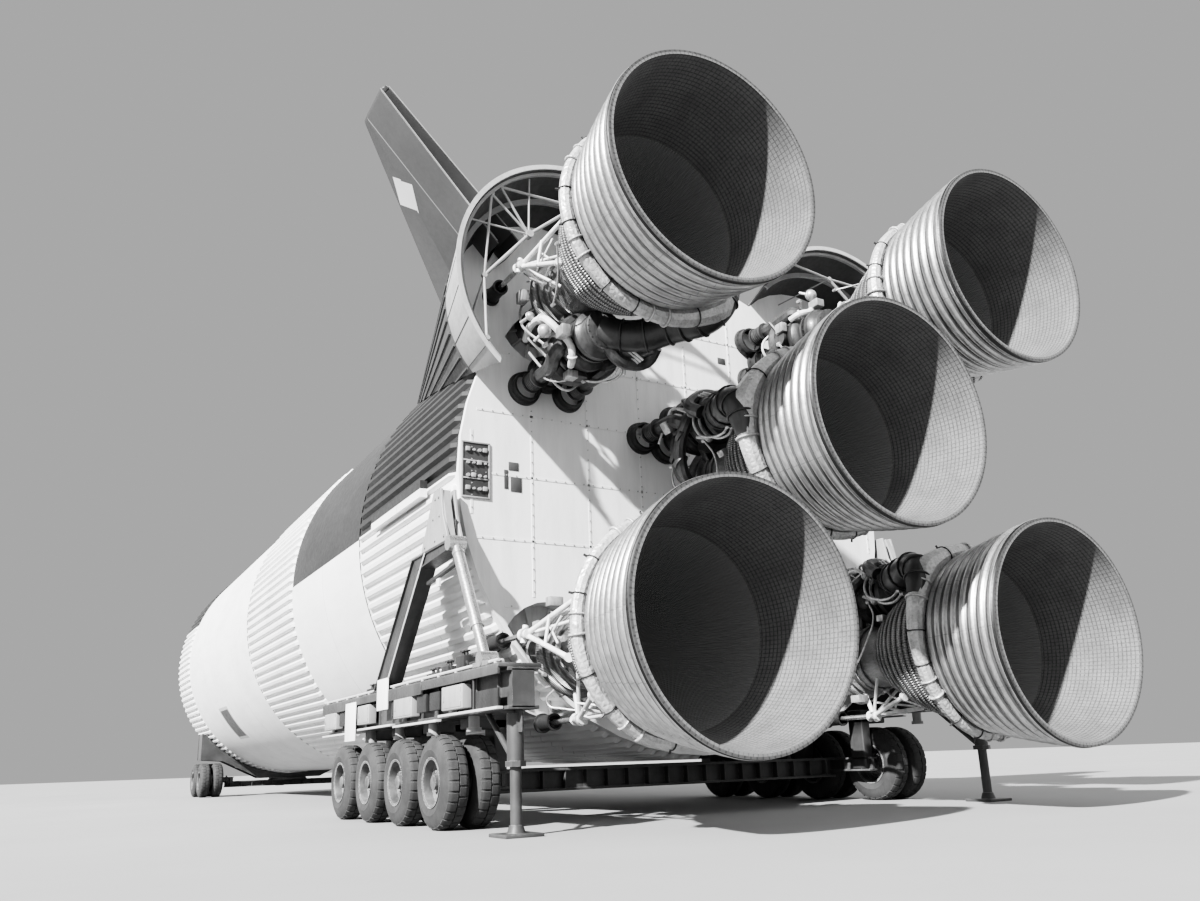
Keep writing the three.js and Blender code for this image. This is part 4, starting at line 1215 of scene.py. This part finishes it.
def add_base():
    masters = [
        (base_hole_cup(), "base_well", WELL_COAT, "black_paint", ["thrust_structure"]),
        (line_collars(), "line_collars", DARK_METAL, "black_paint", []),
        (actuator_sleeves(), "actuator_sleeves", DARK_METAL, "black_paint", []),
        (gimbal_pad(), "gimbal_pad", GIMBAL_STEEL, "gimbal_steel", ["thrust_structure"]),
    ]
    # The pads come after all the others; the fixed centre engine has only its collars
    for group in (masters[:-1], masters[-1:]):
        for place, (y, z, pump_angle) in ENGINES.items():
            for master, name, finish, slot, replaced in group:
                if place == "centre" and name != "line_collars":
                    continue
                turn = 0 if replaced else pump_angle - 90
                dress(copied(master, around_x(turn, y, z)), f"{name}_{place}", finish, slot=slot, replaces=replaced)
    for master, *_ in masters:
        bpy.data.objects.remove(master)
    for place, side in PORT_STARBOARD:
        dress(side_lug(side), f"side_lug_{place}", STAGE_PAINT, slot="white_paint", replaces=["thrust_structure"])
    dress(bay_frame(), "equipment_bay_frame", HEAD_PAINT, slot="frame_paint")
    dress(bay_floor(), "bay_floor", SUPPORT_PAINT, slot="black_paint")
    dress(bay_fittings(), "bay_fittings", LOCKER_PAINT, slot="white_paint")
    dress(base_covers(), "base_covers", FRAME_PAINT, slot="black_paint")
    strips, bolts = base_seams()
    dress(strips, "base_strips", SHIELD_COAT, slot="shield_coat")
    dress(bolts, "base_bolts", FITTING_METAL, slot="engine_metal")


# Fairings over the upper engines, and their fins, built with their outermost line towards +Y


def fairing_centre(x):
    return ENGINE_CIRCLE_R + (RIB_CREST_R - FAIRING_NOSE_R - ENGINE_CIRCLE_R) * (x - FAIRING_AFT_X) / FAIRING_LENGTH


def fairing_radius(x):
    return FAIRING_R + (FAIRING_NOSE_R - FAIRING_R) * (x - FAIRING_AFT_X) / FAIRING_LENGTH


def on_fairing(x, degrees, stand=0.0):
    """A point of the fairing's outside, turned from its outermost line"""
    _, y, z = polar(x, fairing_radius(x) + stand, degrees)
    return (x, y + fairing_centre(x), z)


def clear_of_body(piece):
    """Cuts away what would reach into the stage's body"""
    body = primitive(bpy.ops.mesh.primitive_cylinder_add, vertices=192, radius=RIB_CREST_R + 0.012, depth=12,
                     location=(4, 0, 0), rotation=ACROSS_X)
    begin(piece)
    cut = piece.modifiers.new("body_cut", "BOOLEAN")
    cut.object = body
    cut.operation = "DIFFERENCE"
    cut.solver = "EXACT"
    bpy.ops.object.modifier_apply(modifier=cut.name)
    bpy.data.objects.remove(body)
    bpy.ops.object.shade_smooth_by_angle(angle=math.radians(SMOOTH_BELOW))
    return piece


def fairing_shell():
    """Half cone of thin skin with a rolled rim"""
    # Each ring: how far it is from the open end, and how far it stands out from the skin
    rings = [(0.0, 0.022), (0.05, 0.022)]
    rings += [(0.055 + (FAIRING_LENGTH - 0.055) * i / 8, 0.0) for i in range(9)]
    rings += [(FAIRING_LENGTH * i / 8, -FAIRING_WALL) for i in range(8, -1, -1)]
    outline = [(FAIRING_AFT_X + step, rise) for step, rise in rings]
    shell = clear_of_body(turned([(x, fairing_radius(x) + rise, fairing_centre(x)) for x, rise in outline], 128))
    # Marks the inner face, which the fairing's paint darkens as painted shade
    inside = shell.data.attributes.new("inside_fairing", "FLOAT", "POINT")
    for mark, corner in zip(inside.data, shell.data.vertices):
        x, y, z = corner.co
        mark.value = float(math.hypot(y - fairing_centre(x), z) < fairing_radius(x) - FAIRING_WALL / 2)
    return shell


def fairing_stringers():
    """Hat stringers along the fairing's black part"""
    return clear_of_body(joined([
        rod(on_fairing(0.30, turn, 0.012), on_fairing(THRUST_END_X - 0.5, turn, 0.006), 0.026, 6, end_radius=0.010)
        for turn in range(-98, 99, 7) if turn
    ]))


def fairing_joints():
    """Thin joints along the fairing's pale part"""
    return clear_of_body(joined([rod(on_fairing(FAIRING_AFT_X + 0.06, turn), on_fairing(0.22, turn), 0.009, 6)
                                 for turn in range(-98, 99, 14) if turn]))


def fairing_frames():
    """Ring frames inside the open end"""
    parts = []
    for x, depth in ((FAIRING_AFT_X + 0.10, 0.04), (-0.55, 0.08)):
        radius, centre = fairing_radius(x) - FAIRING_WALL - 0.002, fairing_centre(x)
        section = [(-0.02, 0.0), (0.02, 0.0), (0.02, depth), (0.05, depth), (0.05, depth + 0.012),
                   (-0.02, depth + 0.012)]
        parts.append(turned([(x + step, radius - drop, centre) for step, drop in section], 128))
    return clear_of_body(joined(parts))


def fairing_truss():
    """Tube truss that stiffens the rim"""
    centre = (-1.08, TRUSS_HUB_Y, 0.0)
    parts = [rod((-1.15, TRUSS_HUB_Y, 0), (-1.02, TRUSS_HUB_Y, 0), 0.07)]
    for side in (-1, 1):
        top, foot, middle = (-1.16, 6.88, side * 0.13), (-1.20, 4.96, side * 2.22), (-1.05, 5.83, side * 1.32)
        for start, end, radius, sides in (
            (top, middle, 0.026, 12), (middle, foot, 0.026, 12), (centre, top, 0.024, 12), (centre, middle, 0.032, 12),
            (centre, (-1.12, 6.72, side * 0.80), 0.018, 12), (middle, (-0.55, 5.30, side * 2.02), 0.012, 8),
            (middle, (0.17, 5.4, side * 1.5), 0.014, 8),
        ):
            parts.append(rod(start, end, radius, sides))
        parts += [rod((x - 0.04, y, z), (x + 0.04, y, z), 0.045, 10) for x, y, z in (top, foot, middle)]
    return joined(parts)


def fin_blade():
    """Fin standing on the fairing: blunt trailing face, sharp leading edge, capped tip"""
    # Each section's height, then place along X and half thickness at its tail, where thickest, and at its nose
    sections = [
        (5.95, (-0.50, 0.20), (1.55, 0.19), (2.82, 0.045)),
        (6.2, (-0.50, 0.20), (1.50, 0.18), (2.65, 0.045)),
        (FIN_TIP_R - 0.06, (-0.55, 0.09), (0.35, 0.08), (0.57, 0.045)),
        (FIN_TIP_R, (-0.53, 0.07), (0.33, 0.06), (0.53, 0.035)),
    ]
    blade = primitive(bpy.ops.mesh.primitive_circle_add, vertices=6, radius=1, fill_type="NGON")
    start_editing(blade)
    for height, *steps in sections:
        if height > sections[0][0]:
            bpy.ops.mesh.select_mode(type="FACE")
            bpy.ops.mesh.extrude_region_move()
        bpy.ops.object.mode_set(mode="OBJECT")
        places = [(x, height, -half) for x, half in steps] + [(x, height, half) for x, half in steps[::-1]]
        for corner, place in zip([corner for corner in blade.data.vertices if corner.select], places):
            corner.co = place
        bpy.ops.object.mode_set(mode="EDIT")
    face_outward()
    return stop_editing(20)


def fin_edges():
    """Thin beads along the fin's blunt trailing face and over its tip"""
    beads = [rod((-0.50, 6.25, side * 0.192), (-0.548, FIN_TIP_R - 0.05, side * 0.088), 0.010, 8) for side in (-1, 1)]
    return joined(beads, rod((-0.52, FIN_TIP_R - 0.01, 0), (0.52, FIN_TIP_R - 0.01, 0), 0.014, 8))


def add_fairings():
    for make, finish, slot, node in (
        (fairing_shell, FAIRING_PAINT, "black_paint", "engine_fairing"),
        (fairing_stringers, BLACK_PAINT, "black_paint", "engine_fairing"),
        (fairing_joints, BLACK_PAINT, "black_paint", "engine_fairing"),
        (fairing_frames, HEAD_PAINT, "black_paint", "engine_fairing"),
        (fairing_truss, LOCKER_PAINT, "white_paint", "engine_fairing"),
        (fin_blade, FIN_PAINT, "black_paint", "fin"),
        (fin_edges, LOCKER_PAINT, "black_paint", "fin"),
    ):
        master = make()
        for place, diagonal in (("port", 45), ("starboard", 135)):
            dress(copied(master, around_x(diagonal)), f"{make.__name__}_{place}", finish, slot=slot,
                  replaces=[f"{node}_{place}"])
        bpy.data.objects.remove(master)


# Transporter


def on_axle(piece):
    """Turns a shell about X into one about an axle along Y"""
    piece.data.transform(Matrix.Rotation(math.pi / 2, 4, "Z"))
    return piece


def tyre():
    """One balloon tyre with rounded shoulders, side ribs and shallow tread lugs"""
    # Each ring of one half: how far it is in from the tyre's side, and its radius
    rings = [
        (0.09, HUB_R + 0.06), (0.05, HUB_R + 0.05), (0.02, HUB_R + 0.09), (0.002, HUB_R + 0.16), (-0.008, HUB_R + 0.19),
        (0.0, HUB_R + 0.21), (0.008, TYRE_R - 0.16), (0.028, TYRE_R - 0.09), (0.058, TYRE_R - 0.045),
        (0.095, TYRE_R - 0.022), (0.12, TYRE_R - 0.016), (TYRE_HALF - 0.012, TYRE_R - 0.014),
        (TYRE_HALF - 0.008, TYRE_R - 0.028),
    ]
    half = [(step - TYRE_HALF, radius) for step, radius in rings]
    piece = on_axle(turned(half + [(-across, radius) for across, radius in half[::-1]], TREAD_STEPS, angle=30))
    start_editing(piece)

    def tread(face):
        x, y, z = face.center
        if math.hypot(x, z) < TYRE_R - 0.035 or not 0.02 < abs(y) < TYRE_HALF * 0.92:
            return False
        step = int(math.degrees(math.atan2(z, x)) % 360 / (360 / TREAD_STEPS) + 0.01)
        return (step + (0 if y > 0 else 2)) % 4 < 3

    select(piece, "FACE", tread)
    bpy.ops.mesh.extrude_region_move()
    growth = TYRE_R / (TYRE_R - 0.015)
    bpy.ops.transform.resize(value=(growth, 1, growth), center_override=(0, 0, 0))
    return stop_editing(30)


def wheel_disc():
    """Rims, dished discs, nuts and hub of a pair of wheels"""
    # Each ring of a rim: its radius, and how far it is in from the rim's face
    rings = [
        (HUB_R + 0.055, 0.30), (HUB_R + 0.055, 0.06), (HUB_R + 0.075, 0.035), (HUB_R + 0.075, 0.012),
        (HUB_R + 0.035, 0.02), (HUB_R + 0.02, 0.07), (HUB_R + 0.015, 0.17), (HUB_R - 0.05, 0.22), (0.22, 0.20),
        (0.17, 0.155), (0.12, 0.15), (0.115, 0.06), (0.09, 0.045), (0.0, 0.04), (0.0, 0.3),
    ]
    parts = []
    for side in (-1, 1):
        parts.append(on_axle(turned([(side * (RIM_FACE_Y - depth), radius) for radius, depth in rings], 64, angle=40)))
        # Nuts, then covers of the hand holes: the turns of each, their circle, depth of both ends, radius and sides
        for turns, circle, near, far, radius, sides in ((range(0, 360, 30), 0.195, 0.21, 0.14, 0.022, 6),
                                                        (range(30, 360, 60), 0.30, 0.235, 0.205, 0.036, 12)):
            for _, x, z in [polar(0, circle, turn) for turn in turns]:
                parts.append(rod((x, side * (RIM_FACE_Y - near), z), (x, side * (RIM_FACE_Y - far), z), radius, sides))
    return joined(parts, rod((0, -0.26, 0), (0, 0.26, 0), 0.30, sides=40))


def add_wheels():
    near, metal = tyre(), wheel_disc()
    far = copied(near, Matrix.Translation((0, -TYRE_Y, 0)))
    rubber = joined(moved(near, y=TYRE_Y), far)
    for place, side in PORT_STARBOARD:
        wheels = [(f"aft_wheels_{place}_{i + 1}", AFT_AXLE_X + i * AFT_AXLE_STEP, AFT_WHEEL_Y) for i in range(4)]
        wheels += [(f"forward_wheels_{place}_{end}", DOLLY_X + way * DOLLY_AXLE_OFFSET, DOLLY_WHEEL_Y)
                   for end, way in (("rear", -1), ("front", 1))]
        for node, x, y in wheels:
            shift = Matrix.Translation((x, side * y, AXLE_Z))
            dress(copied(rubber, shift), f"{node}_tyres", RUBBER, node, "tyre_rubber", [node])
            dress(copied(metal, shift), f"{node}_rims", RIM_PAINT, node, "gimbal_steel", [node])
    bpy.data.objects.remove(rubber)
    bpy.data.objects.remove(metal)


def i_beam(low, high, along, web, flange, stiffeners):
    """The flanges, web and stiffener plates of a girder between two corners, along X (0) or Y (1)"""
    across = 1 - along
    middle = (low[across] + high[across]) / 2
    parts = [block(low, (high[0], high[1], low[2] + flange), 0.006),
             block((low[0], low[1], high[2] - flange), high, 0.006)]
    web_low, web_high = list(low), list(high)
    web_low[across], web_high[across] = middle - web / 2, middle + web / 2
    web_low[2], web_high[2] = low[2] + flange / 2, high[2] - flange / 2
    parts.append(block(web_low, web_high, 0.0))
    for i in range(stiffeners):
        at = low[along] + (i + 0.5) * (high[along] - low[along]) / stiffeners
        plate_low, plate_high = list(low), list(high)
        plate_low[along], plate_high[along] = at - 0.012, at + 0.012
        plate_low[across] += 0.02
        plate_high[across] -= 0.02
        parts.append(block(plate_low, plate_high, 0.004))
    return parts


def side_frame():
    """Main frame over the port wheels: girder, deck, suspension and lower rail"""
    parts = i_beam((-2.30, 4.75, GIRDER_Z), (7.40, 5.25, DECK_UNDER_Z), 0, 0.36, 0.05, 12)
    parts += i_beam((0.15, 4.10, -5.45), (6.201, 4.34, -5.17), 0, 0.06, 0.04, 12)
    parts.append(block((-2.30, 4.70, DECK_UNDER_Z), (7.40, 5.40, DECK_Z), 0.01))
    for start, end, drop in ((-2.3, 0.9, 0.10), (0.9, 3.2, 0.16), (3.2, 5.3, 0.10), (5.3, 7.4, 0.16)):
        parts.append(block((start + 0.02, 5.36, DECK_UNDER_Z - drop), (end - 0.02, 5.41, DECK_Z - 0.02), 0.008))
    for x in [AFT_AXLE_X + i * AFT_AXLE_STEP for i in range(4)]:
        parts += [
            block((x - 0.20, 4.10, -4.48), (x + 0.20, 4.80, -4.20), 0.03, 3),
            block((x - 0.20, 4.10, -5.40), (x + 0.20, 4.34, GIRDER_Z), 0.03, 3),
            rod((x, 4.30, AXLE_Z), (x, AFT_WHEEL_Y - 0.50, AXLE_Z), 0.12, sides=24),
            rod((x, 4.34, AXLE_Z), (x, 4.37, AXLE_Z), 0.19, sides=24),
        ]
        parts += [rod((x + step, 4.33, z), (x + step, 4.37, z), 0.022, sides=6)
                  for step in (-0.15, 0.15) for z in (-5.25, -4.85, -4.45)]
    return joined(parts)


def deck_trim():
    """Stepped light strip under the lockers, and the pipes along the deck with their clips"""
    strips = [block((start, 5.30, z - 0.025), (end, 5.405, z + 0.015), 0.006) for start, end, z in (
        (-2.25, 0.10, -4.27), (0.20, 2.40, -4.33), (2.55, 4.65, -4.29), (5.5, 7.35, -4.33))]
    pipes = [rod((-2.2, y, -3.59), (7.3, y, -3.59), radius, sides=8) for y, radius in ((5.34, 0.025), (5.28, 0.018))]
    clips = [block((x - 0.02, 5.25, DECK_Z), (x + 0.02, 5.37, -3.60), 0.004)
             for x in [-2.1 + i * 0.77 for i in range(13)]]
    return joined(strips, pipes, clips)


def deck_lockers():
    """Lockers hung on the girder's side, each with a door, a handle and hinges"""
    low, high, face = -4.20, -3.83, LOCKER_FACE_Y
    middle = (low + high) / 2
    parts = []
    for start, end in ((-0.94, -0.06), (1.40, 2.37), (3.90, 4.66), (6.27, 7.20)):
        parts += [
            block((start, 5.24, low), (end, face, high), 0.012, 3),
            block((start + 0.04, face - 0.005, low + 0.03), (end - 0.04, face + 0.010, high - 0.03), 0.005),
            block((end - 0.14, face + 0.008, middle - 0.05), (end - 0.11, face + 0.03, middle + 0.05), 0.004),
        ]
        hinge = (start + 0.05, face + 0.012)
        parts += [rod((*hinge, z - 0.03), (*hinge, z + 0.03), 0.010, sides=8) for z in (low + 0.08, high - 0.08)]
    return joined(parts)


def deck_machinery():
    """Dark boxes between the lockers, the valves and hoses on the deck above them, and a board on its pole"""
    parts = [block((start, 5.24, -4.16), (end, 5.36, -3.86), 0.015)
             for start, end in ((0.15, 0.62), (0.80, 1.25), (2.48, 2.64), (5.55, 6.15))]
    for x, width, height in ((-1.15, 0.40, 0.16), (-0.55, 0.34, 0.30), (0.15, 0.30, 0.20), (0.75, 0.42, 0.14),
                             (4.3, 0.4, 0.16)):
        top = DECK_Z + height
        parts.append(block((x, 4.98, DECK_Z), (x + width, 5.22, top), 0.02))
        for at in (x + 0.10, x + width - 0.10):
            parts += [rod((at, 5.12, top - 0.02), (at, 5.12, top + 0.08), 0.03, sides=10),
                      rod((at, 5.12, top + 0.07), (at, 5.12, top + 0.09), 0.06, sides=16)]
        parts.append(pipe([(x, 5.14, -3.55), (x - 0.10, 5.20, -3.46), (x - 0.17, 5.18, -3.61)], 0.020, 8))
    return joined(parts, block((-2.21, 5.34, -4.28), (-1.39, 5.37, -3.99), 0.004),
                  rod((-1.31, 5.36, GIRDER_Z), (-1.31, 5.36, DECK_Z), 0.025, sides=10))


def deck_panels():
    """Two blank panels hung on the deck's edge"""
    return joined(block((4.74, 5.40, -4.50), (5.47, 5.42, -3.73), 0.004),
                  block((2.68, 5.40, -4.00), (3.33, 5.42, -3.42), 0.004))


def jack():
    """Screw jack at the frame's aft end, with its foot, gussets and diagonal brace"""
    x, y = JACK_PLACE
    return joined(
        rod((x, y, -4.35), (x, y, -5.05), 0.125, sides=24),
        rod((x, y, -5.0), (x, y, GROUND_Z + 0.06), 0.085, sides=24),
        rod((x, y, -5.10), (x, y, -5.02), 0.16, sides=8),
        block((x - 0.30, y - 0.30, GROUND_Z), (x + 0.30, y + 0.30, GROUND_Z + 0.05), 0.012),
        rod((x, y, GROUND_Z + 0.04), (x, y, GROUND_Z + 0.16), 0.14, sides=24, end_radius=0.10),
        rod((x + 0.08, y, -5.0), (x + 1.0, y, -4.28), 0.045),
        [block((x + shift - 0.12, y - 0.012, -4.62), (x + shift + 0.1, y + 0.012, -4.28), 0.004)
         for shift in (-0.12, 0.12)],
    )


def suspension_cans():
    """Pale cushion cylinders beside the wheels, under the girder"""
    parts = []
    for x in [AFT_AXLE_X + steps * AFT_AXLE_STEP for steps in (0.5, 1.5, 2.5, -0.5)]:
        parts += [rod((x, 5.0, -4.50), (x, 5.0, -4.28), 0.09, sides=24),
                  rod((x, 5.0, -4.54), (x, 5.0, -4.48), 0.12, sides=24)]
    return joined(parts)


def support_head():
    """Two flared head plates that grip the stage's side lug, with webs in the slot between them"""
    y0, y1 = SUPPORT_Y
    outline = [(0.05, -0.42), (0.40, -0.42), (0.97, -1.34), (0.97, -1.40), (-0.30, -1.40), (-0.05, -0.90)]
    webs = [plate([(top, -0.44), (top + 0.03, -0.44), (foot + 0.05, -1.39), (foot, -1.39)], y0 + 0.12, y1 - 0.04, 0.004)
            for top, foot in ((0.07, -0.24), (0.20, 0.10), (0.36, 0.55))]
    bolts = [rod((x, y1 - 0.01, z), (x, y1 + 0.02, z), 0.028, sides=6) for x, z in (
        (0.14, -0.56), (0.30, -0.56), (0.10, -0.90), (0.40, -0.90), (-0.12, -1.30), (0.30, -1.30), (0.80, -1.32))]
    return joined(plate(outline, y0, y0 + 0.05), plate(outline, y1 - 0.05, y1), webs, bolts)


def support_leg():
    """Dark arm under the head and the box leg down to the deck, with edge flanges, foot and brace"""
    y0, y1 = SUPPORT_Y
    boxes = [
        plate([(-0.35, -1.41), (1.50, -1.41), (1.25, -1.64), (-0.35, -1.56)], y0 + 0.03, y1 - 0.03),
        plate([(1.47, -1.44), (0.83, -1.44), (2.88, -3.62), (3.58, -3.62)], y0 + 0.04, y1 - 0.04),
        plate([(-0.48, -1.72), (-0.48, -1.78), (1.12, -1.93), (1.12, -1.87)], y0 + 0.06, y0 + 0.14, 0.004),
        block((2.78, 4.98, -3.635), (3.70, 5.40, -3.60), 0.008),
        block((-0.15, y0 + 0.06, -1.39), (0.75, y0 + 0.10, -1.00), 0.01),
    ]
    flanges = [plate(corners, y0, y1, 0.004) for corners in (
        [(-0.36, -1.405), (1.50, -1.405), (1.50, -1.435), (-0.36, -1.435)],
        [(-0.36, -1.54), (-0.36, -1.57), (1.20, -1.66), (1.20, -1.63)],
        [(1.50, -1.41), (1.46, -1.41), (3.57, -3.62), (3.61, -3.62)],
        [(0.84, -1.41), (0.80, -1.41), (2.86, -3.62), (2.90, -3.62)],
    )]
    return joined(boxes, flanges)


def support_highlight_and_tag():
    """Pale rod down the leg's edge, a painted highlight, and the small blank square tag on the brace"""
    y0, y1 = SUPPORT_Y
    # The white rod along the leg's edge is a painted highlight
    return joined(rod((0.80, y1, -1.42), (2.86, y1, -3.61), 0.014, sides=8),
                  plate([(0.38, -2.07), (0.38, -1.93), (0.52, -1.93), (0.52, -2.07)], y0 + 0.15, y0 + 0.18, 0.0))


def support_strut():
    """Round strut with its sleeve, collars, eye, foot and base"""
    y = STRUT_Y
    top, foot = Vector((-0.30, y, -1.46)), Vector((-1.59, y, -3.62))
    along = (foot - top).normalized()
    tubes = [rod(top + along * start, top + along * end, radius, sides=28)
             for start, end, radius in ((0.22, 1.75, 0.096), (0.20, 0.26, 0.106), (1.72, 1.78, 0.106))]
    return joined(
        rod(top, foot, 0.085, sides=28), tubes,
        rod((top.x, y - 0.15, top.z), (top.x, y + 0.15, top.z), 0.13, sides=28),
        rod((foot.x, y - 0.14, foot.z + 0.10), (foot.x, y + 0.14, foot.z + 0.10), 0.12, sides=28),
        block((foot.x - 0.28, y - 0.17, -3.635), (foot.x + 0.28, y + 0.13, -3.56), 0.012),
    )


def turned_over(piece, place):
    """A piece put in place by a matrix that mirrors it, with its faces outward again"""
    piece.data.transform(place)
    start_editing(piece)
    face_outward()
    return stop_editing()


def web_plate(corners, low_x, high_x):
    """A flat plate across the stage, cut to its corners given as Y and Z"""
    place = Matrix(((0, 1, 0, low_x), (1, 0, 0, 0), (0, 0, 1, 0), (0, 0, 0, 1)))
    return turned_over(plate(corners, 0.0, high_x - low_x, 0.0), place)


def cradle():
    """Saddle under the stage's forward skirt: two curved webs, a padded top flange and stiffeners"""
    def arc(radius):
        return [polar(0, radius, -140 + 100 * i / 24)[1:] for i in range(25)]

    under, over = arc(SADDLE_R), arc(SADDLE_R + 0.07)
    lower = [(4.10, SADDLE_TOP_Z), (4.10, -4.40), (3.10, -4.48), (1.40, -5.30)]
    outline = [spot for spot in under if spot[1] < SADDLE_TOP_Z] + lower + [(-y, z) for y, z in lower[::-1]]
    parts = [web_plate(outline, x, x + 0.06) for x in (DOLLY_X - 0.56, DOLLY_X + 0.50)]
    for i in range(24):
        if max(under[i][1], under[i + 1][1]) <= SADDLE_TOP_Z - 0.02:
            corners = [under[i], under[i + 1], over[i + 1], over[i]]
            parts.append(web_plate(corners, DOLLY_X - 0.60, DOLLY_X + 0.60))
    # Stiffeners, by how far out they are and where their foot is
    for out, foot in ((0.0, -5.29), (1.3, -5.29), (2.4, -4.808), (3.3, -4.43), (4.06, -4.43)):
        top = -math.sqrt((SADDLE_R + 0.06) ** 2 - out * out) if out < 4 else SADDLE_TOP_Z - 0.05
        for y in {out, -out}:
            parts.append(block((DOLLY_X - 0.52, y - 0.02, foot), (DOLLY_X + 0.52, y + 0.02, top), 0.004))
    return joined(parts, block((DOLLY_X - 0.60, -1.38, -5.30), (DOLLY_X + 0.60, 1.38, -5.25), 0.01))


def bogie():
    """Forward dolly: turntable, cross girder, side beams, axles and tow bar"""
    x0 = DOLLY_X
    ring = turned([(-5.40, 0.55), (-5.40, 0.90), (-5.36, 0.90), (-5.35, 0.86), (-5.3006, 0.86), (-5.3006, 0.55)], 64)
    parts = [
        turned_over(ring, Matrix(((0, 0, 1, x0), (0, 1, 0, 0), (1, 0, 0, 0), (0, 0, 0, 1)))),
        block((x0 + 0.20, -0.14, -5.64), (x0 + 1.65, 0.14, -5.44), 0.02, 3),
        block((x0 + 1.60, -0.20, -5.70), (x0 + 1.70, 0.20, -5.38), 0.015, 3),
        rod((x0 + 1.55, -0.16, TOW_Z), (x0 + 1.55, 0.16, TOW_Z), 0.06, sides=20),
    ]
    parts += i_beam((x0 - 0.26, -2.90, -5.66), (x0 + 0.26, 2.90, -5.39), 1, 0.12, 0.04, 12)
    for side in (-1, 1):
        low, high = sorted((side * 2.68, side * 2.96))
        parts += i_beam((x0 - 1.20, low, -5.45), (x0 + 1.20, high, -5.19), 0, 0.08, 0.035, 8)
        for x in (x0 - DOLLY_AXLE_OFFSET, x0 + DOLLY_AXLE_OFFSET):
            parts += [rod((x, side * 2.80, AXLE_Z), (x, side * (DOLLY_WHEEL_Y - 0.50), AXLE_Z), 0.12, sides=24),
                      rod((x, side * 2.97, AXLE_Z), (x, side * 3.0, AXLE_Z), 0.19, sides=24)]
        parts.append(rod((x0 + 1.5, side * 0.12, TOW_Z), (x0 + 0.22, side * 0.9, TOW_Z), 0.04))
    return joined(parts)


def add_transporter():
    for make, finish, slot, node in (
        (side_frame, FRAME_PAINT, "frame_paint", "aft_side_frame"),
        (deck_trim, TRIM_PAINT, "white_paint", "aft_side_frame"),
        (deck_lockers, LOCKER_PAINT, "frame_paint", "aft_side_frame"),
        (deck_machinery, DARK_METAL, "frame_paint", "aft_side_frame"),
        (deck_panels, PALE_PANEL_AND_HIGHLIGHT, "white_paint", "aft_side_frame"),
        (jack, FRAME_PAINT, "frame_paint", "aft_side_frame"),
        (suspension_cans, LOCKER_PAINT, "frame_paint", "aft_side_frame"),
        (support_head, HEAD_PAINT, "support_paint", "aft_support"),
        (support_leg, SUPPORT_PAINT, "support_paint", "aft_support"),
        (support_highlight_and_tag, PALE_PANEL_AND_HIGHLIGHT, "white_paint", "aft_support"),
        (support_strut, STRUT_STEEL, "gimbal_steel", "aft_support"),
    ):
        master = make()
        for place, side in PORT_STARBOARD:
            piece = copied(master, Matrix.Scale(side, 4, (0, 1, 0)))
            if side < 0:
                piece.data.flip_normals()
            dress(piece, f"{make.__name__}_{place}", finish, slot=slot, replaces=[f"{node}_{place}"])
        bpy.data.objects.remove(master)
    for i, x in enumerate(CROSS_BEAM_X, 1):
        beam = joined(i_beam((x - 0.20, -4.099, -5.56), (x + 0.20, 4.099, -5.16), 1, 0.08, 0.045, 18))
        dress(beam, f"cross_beam_{x:.0f}", FRAME_PAINT, slot="frame_paint", replaces=[f"aft_cross_beam_{i}"])
    dress(cradle(), "forward_cradle_frame", FRAME_PAINT, slot="frame_paint", replaces=["forward_cradle"])
    dress(bogie(), "forward_bogie_frame", FRAME_PAINT, "forward_bogie", "frame_paint", ["forward_bogie"])
    add_wheels()


add_camera()
add_floor()
add_light()
add_body()
add_engines()
add_base()
add_fairings()
add_transporter()
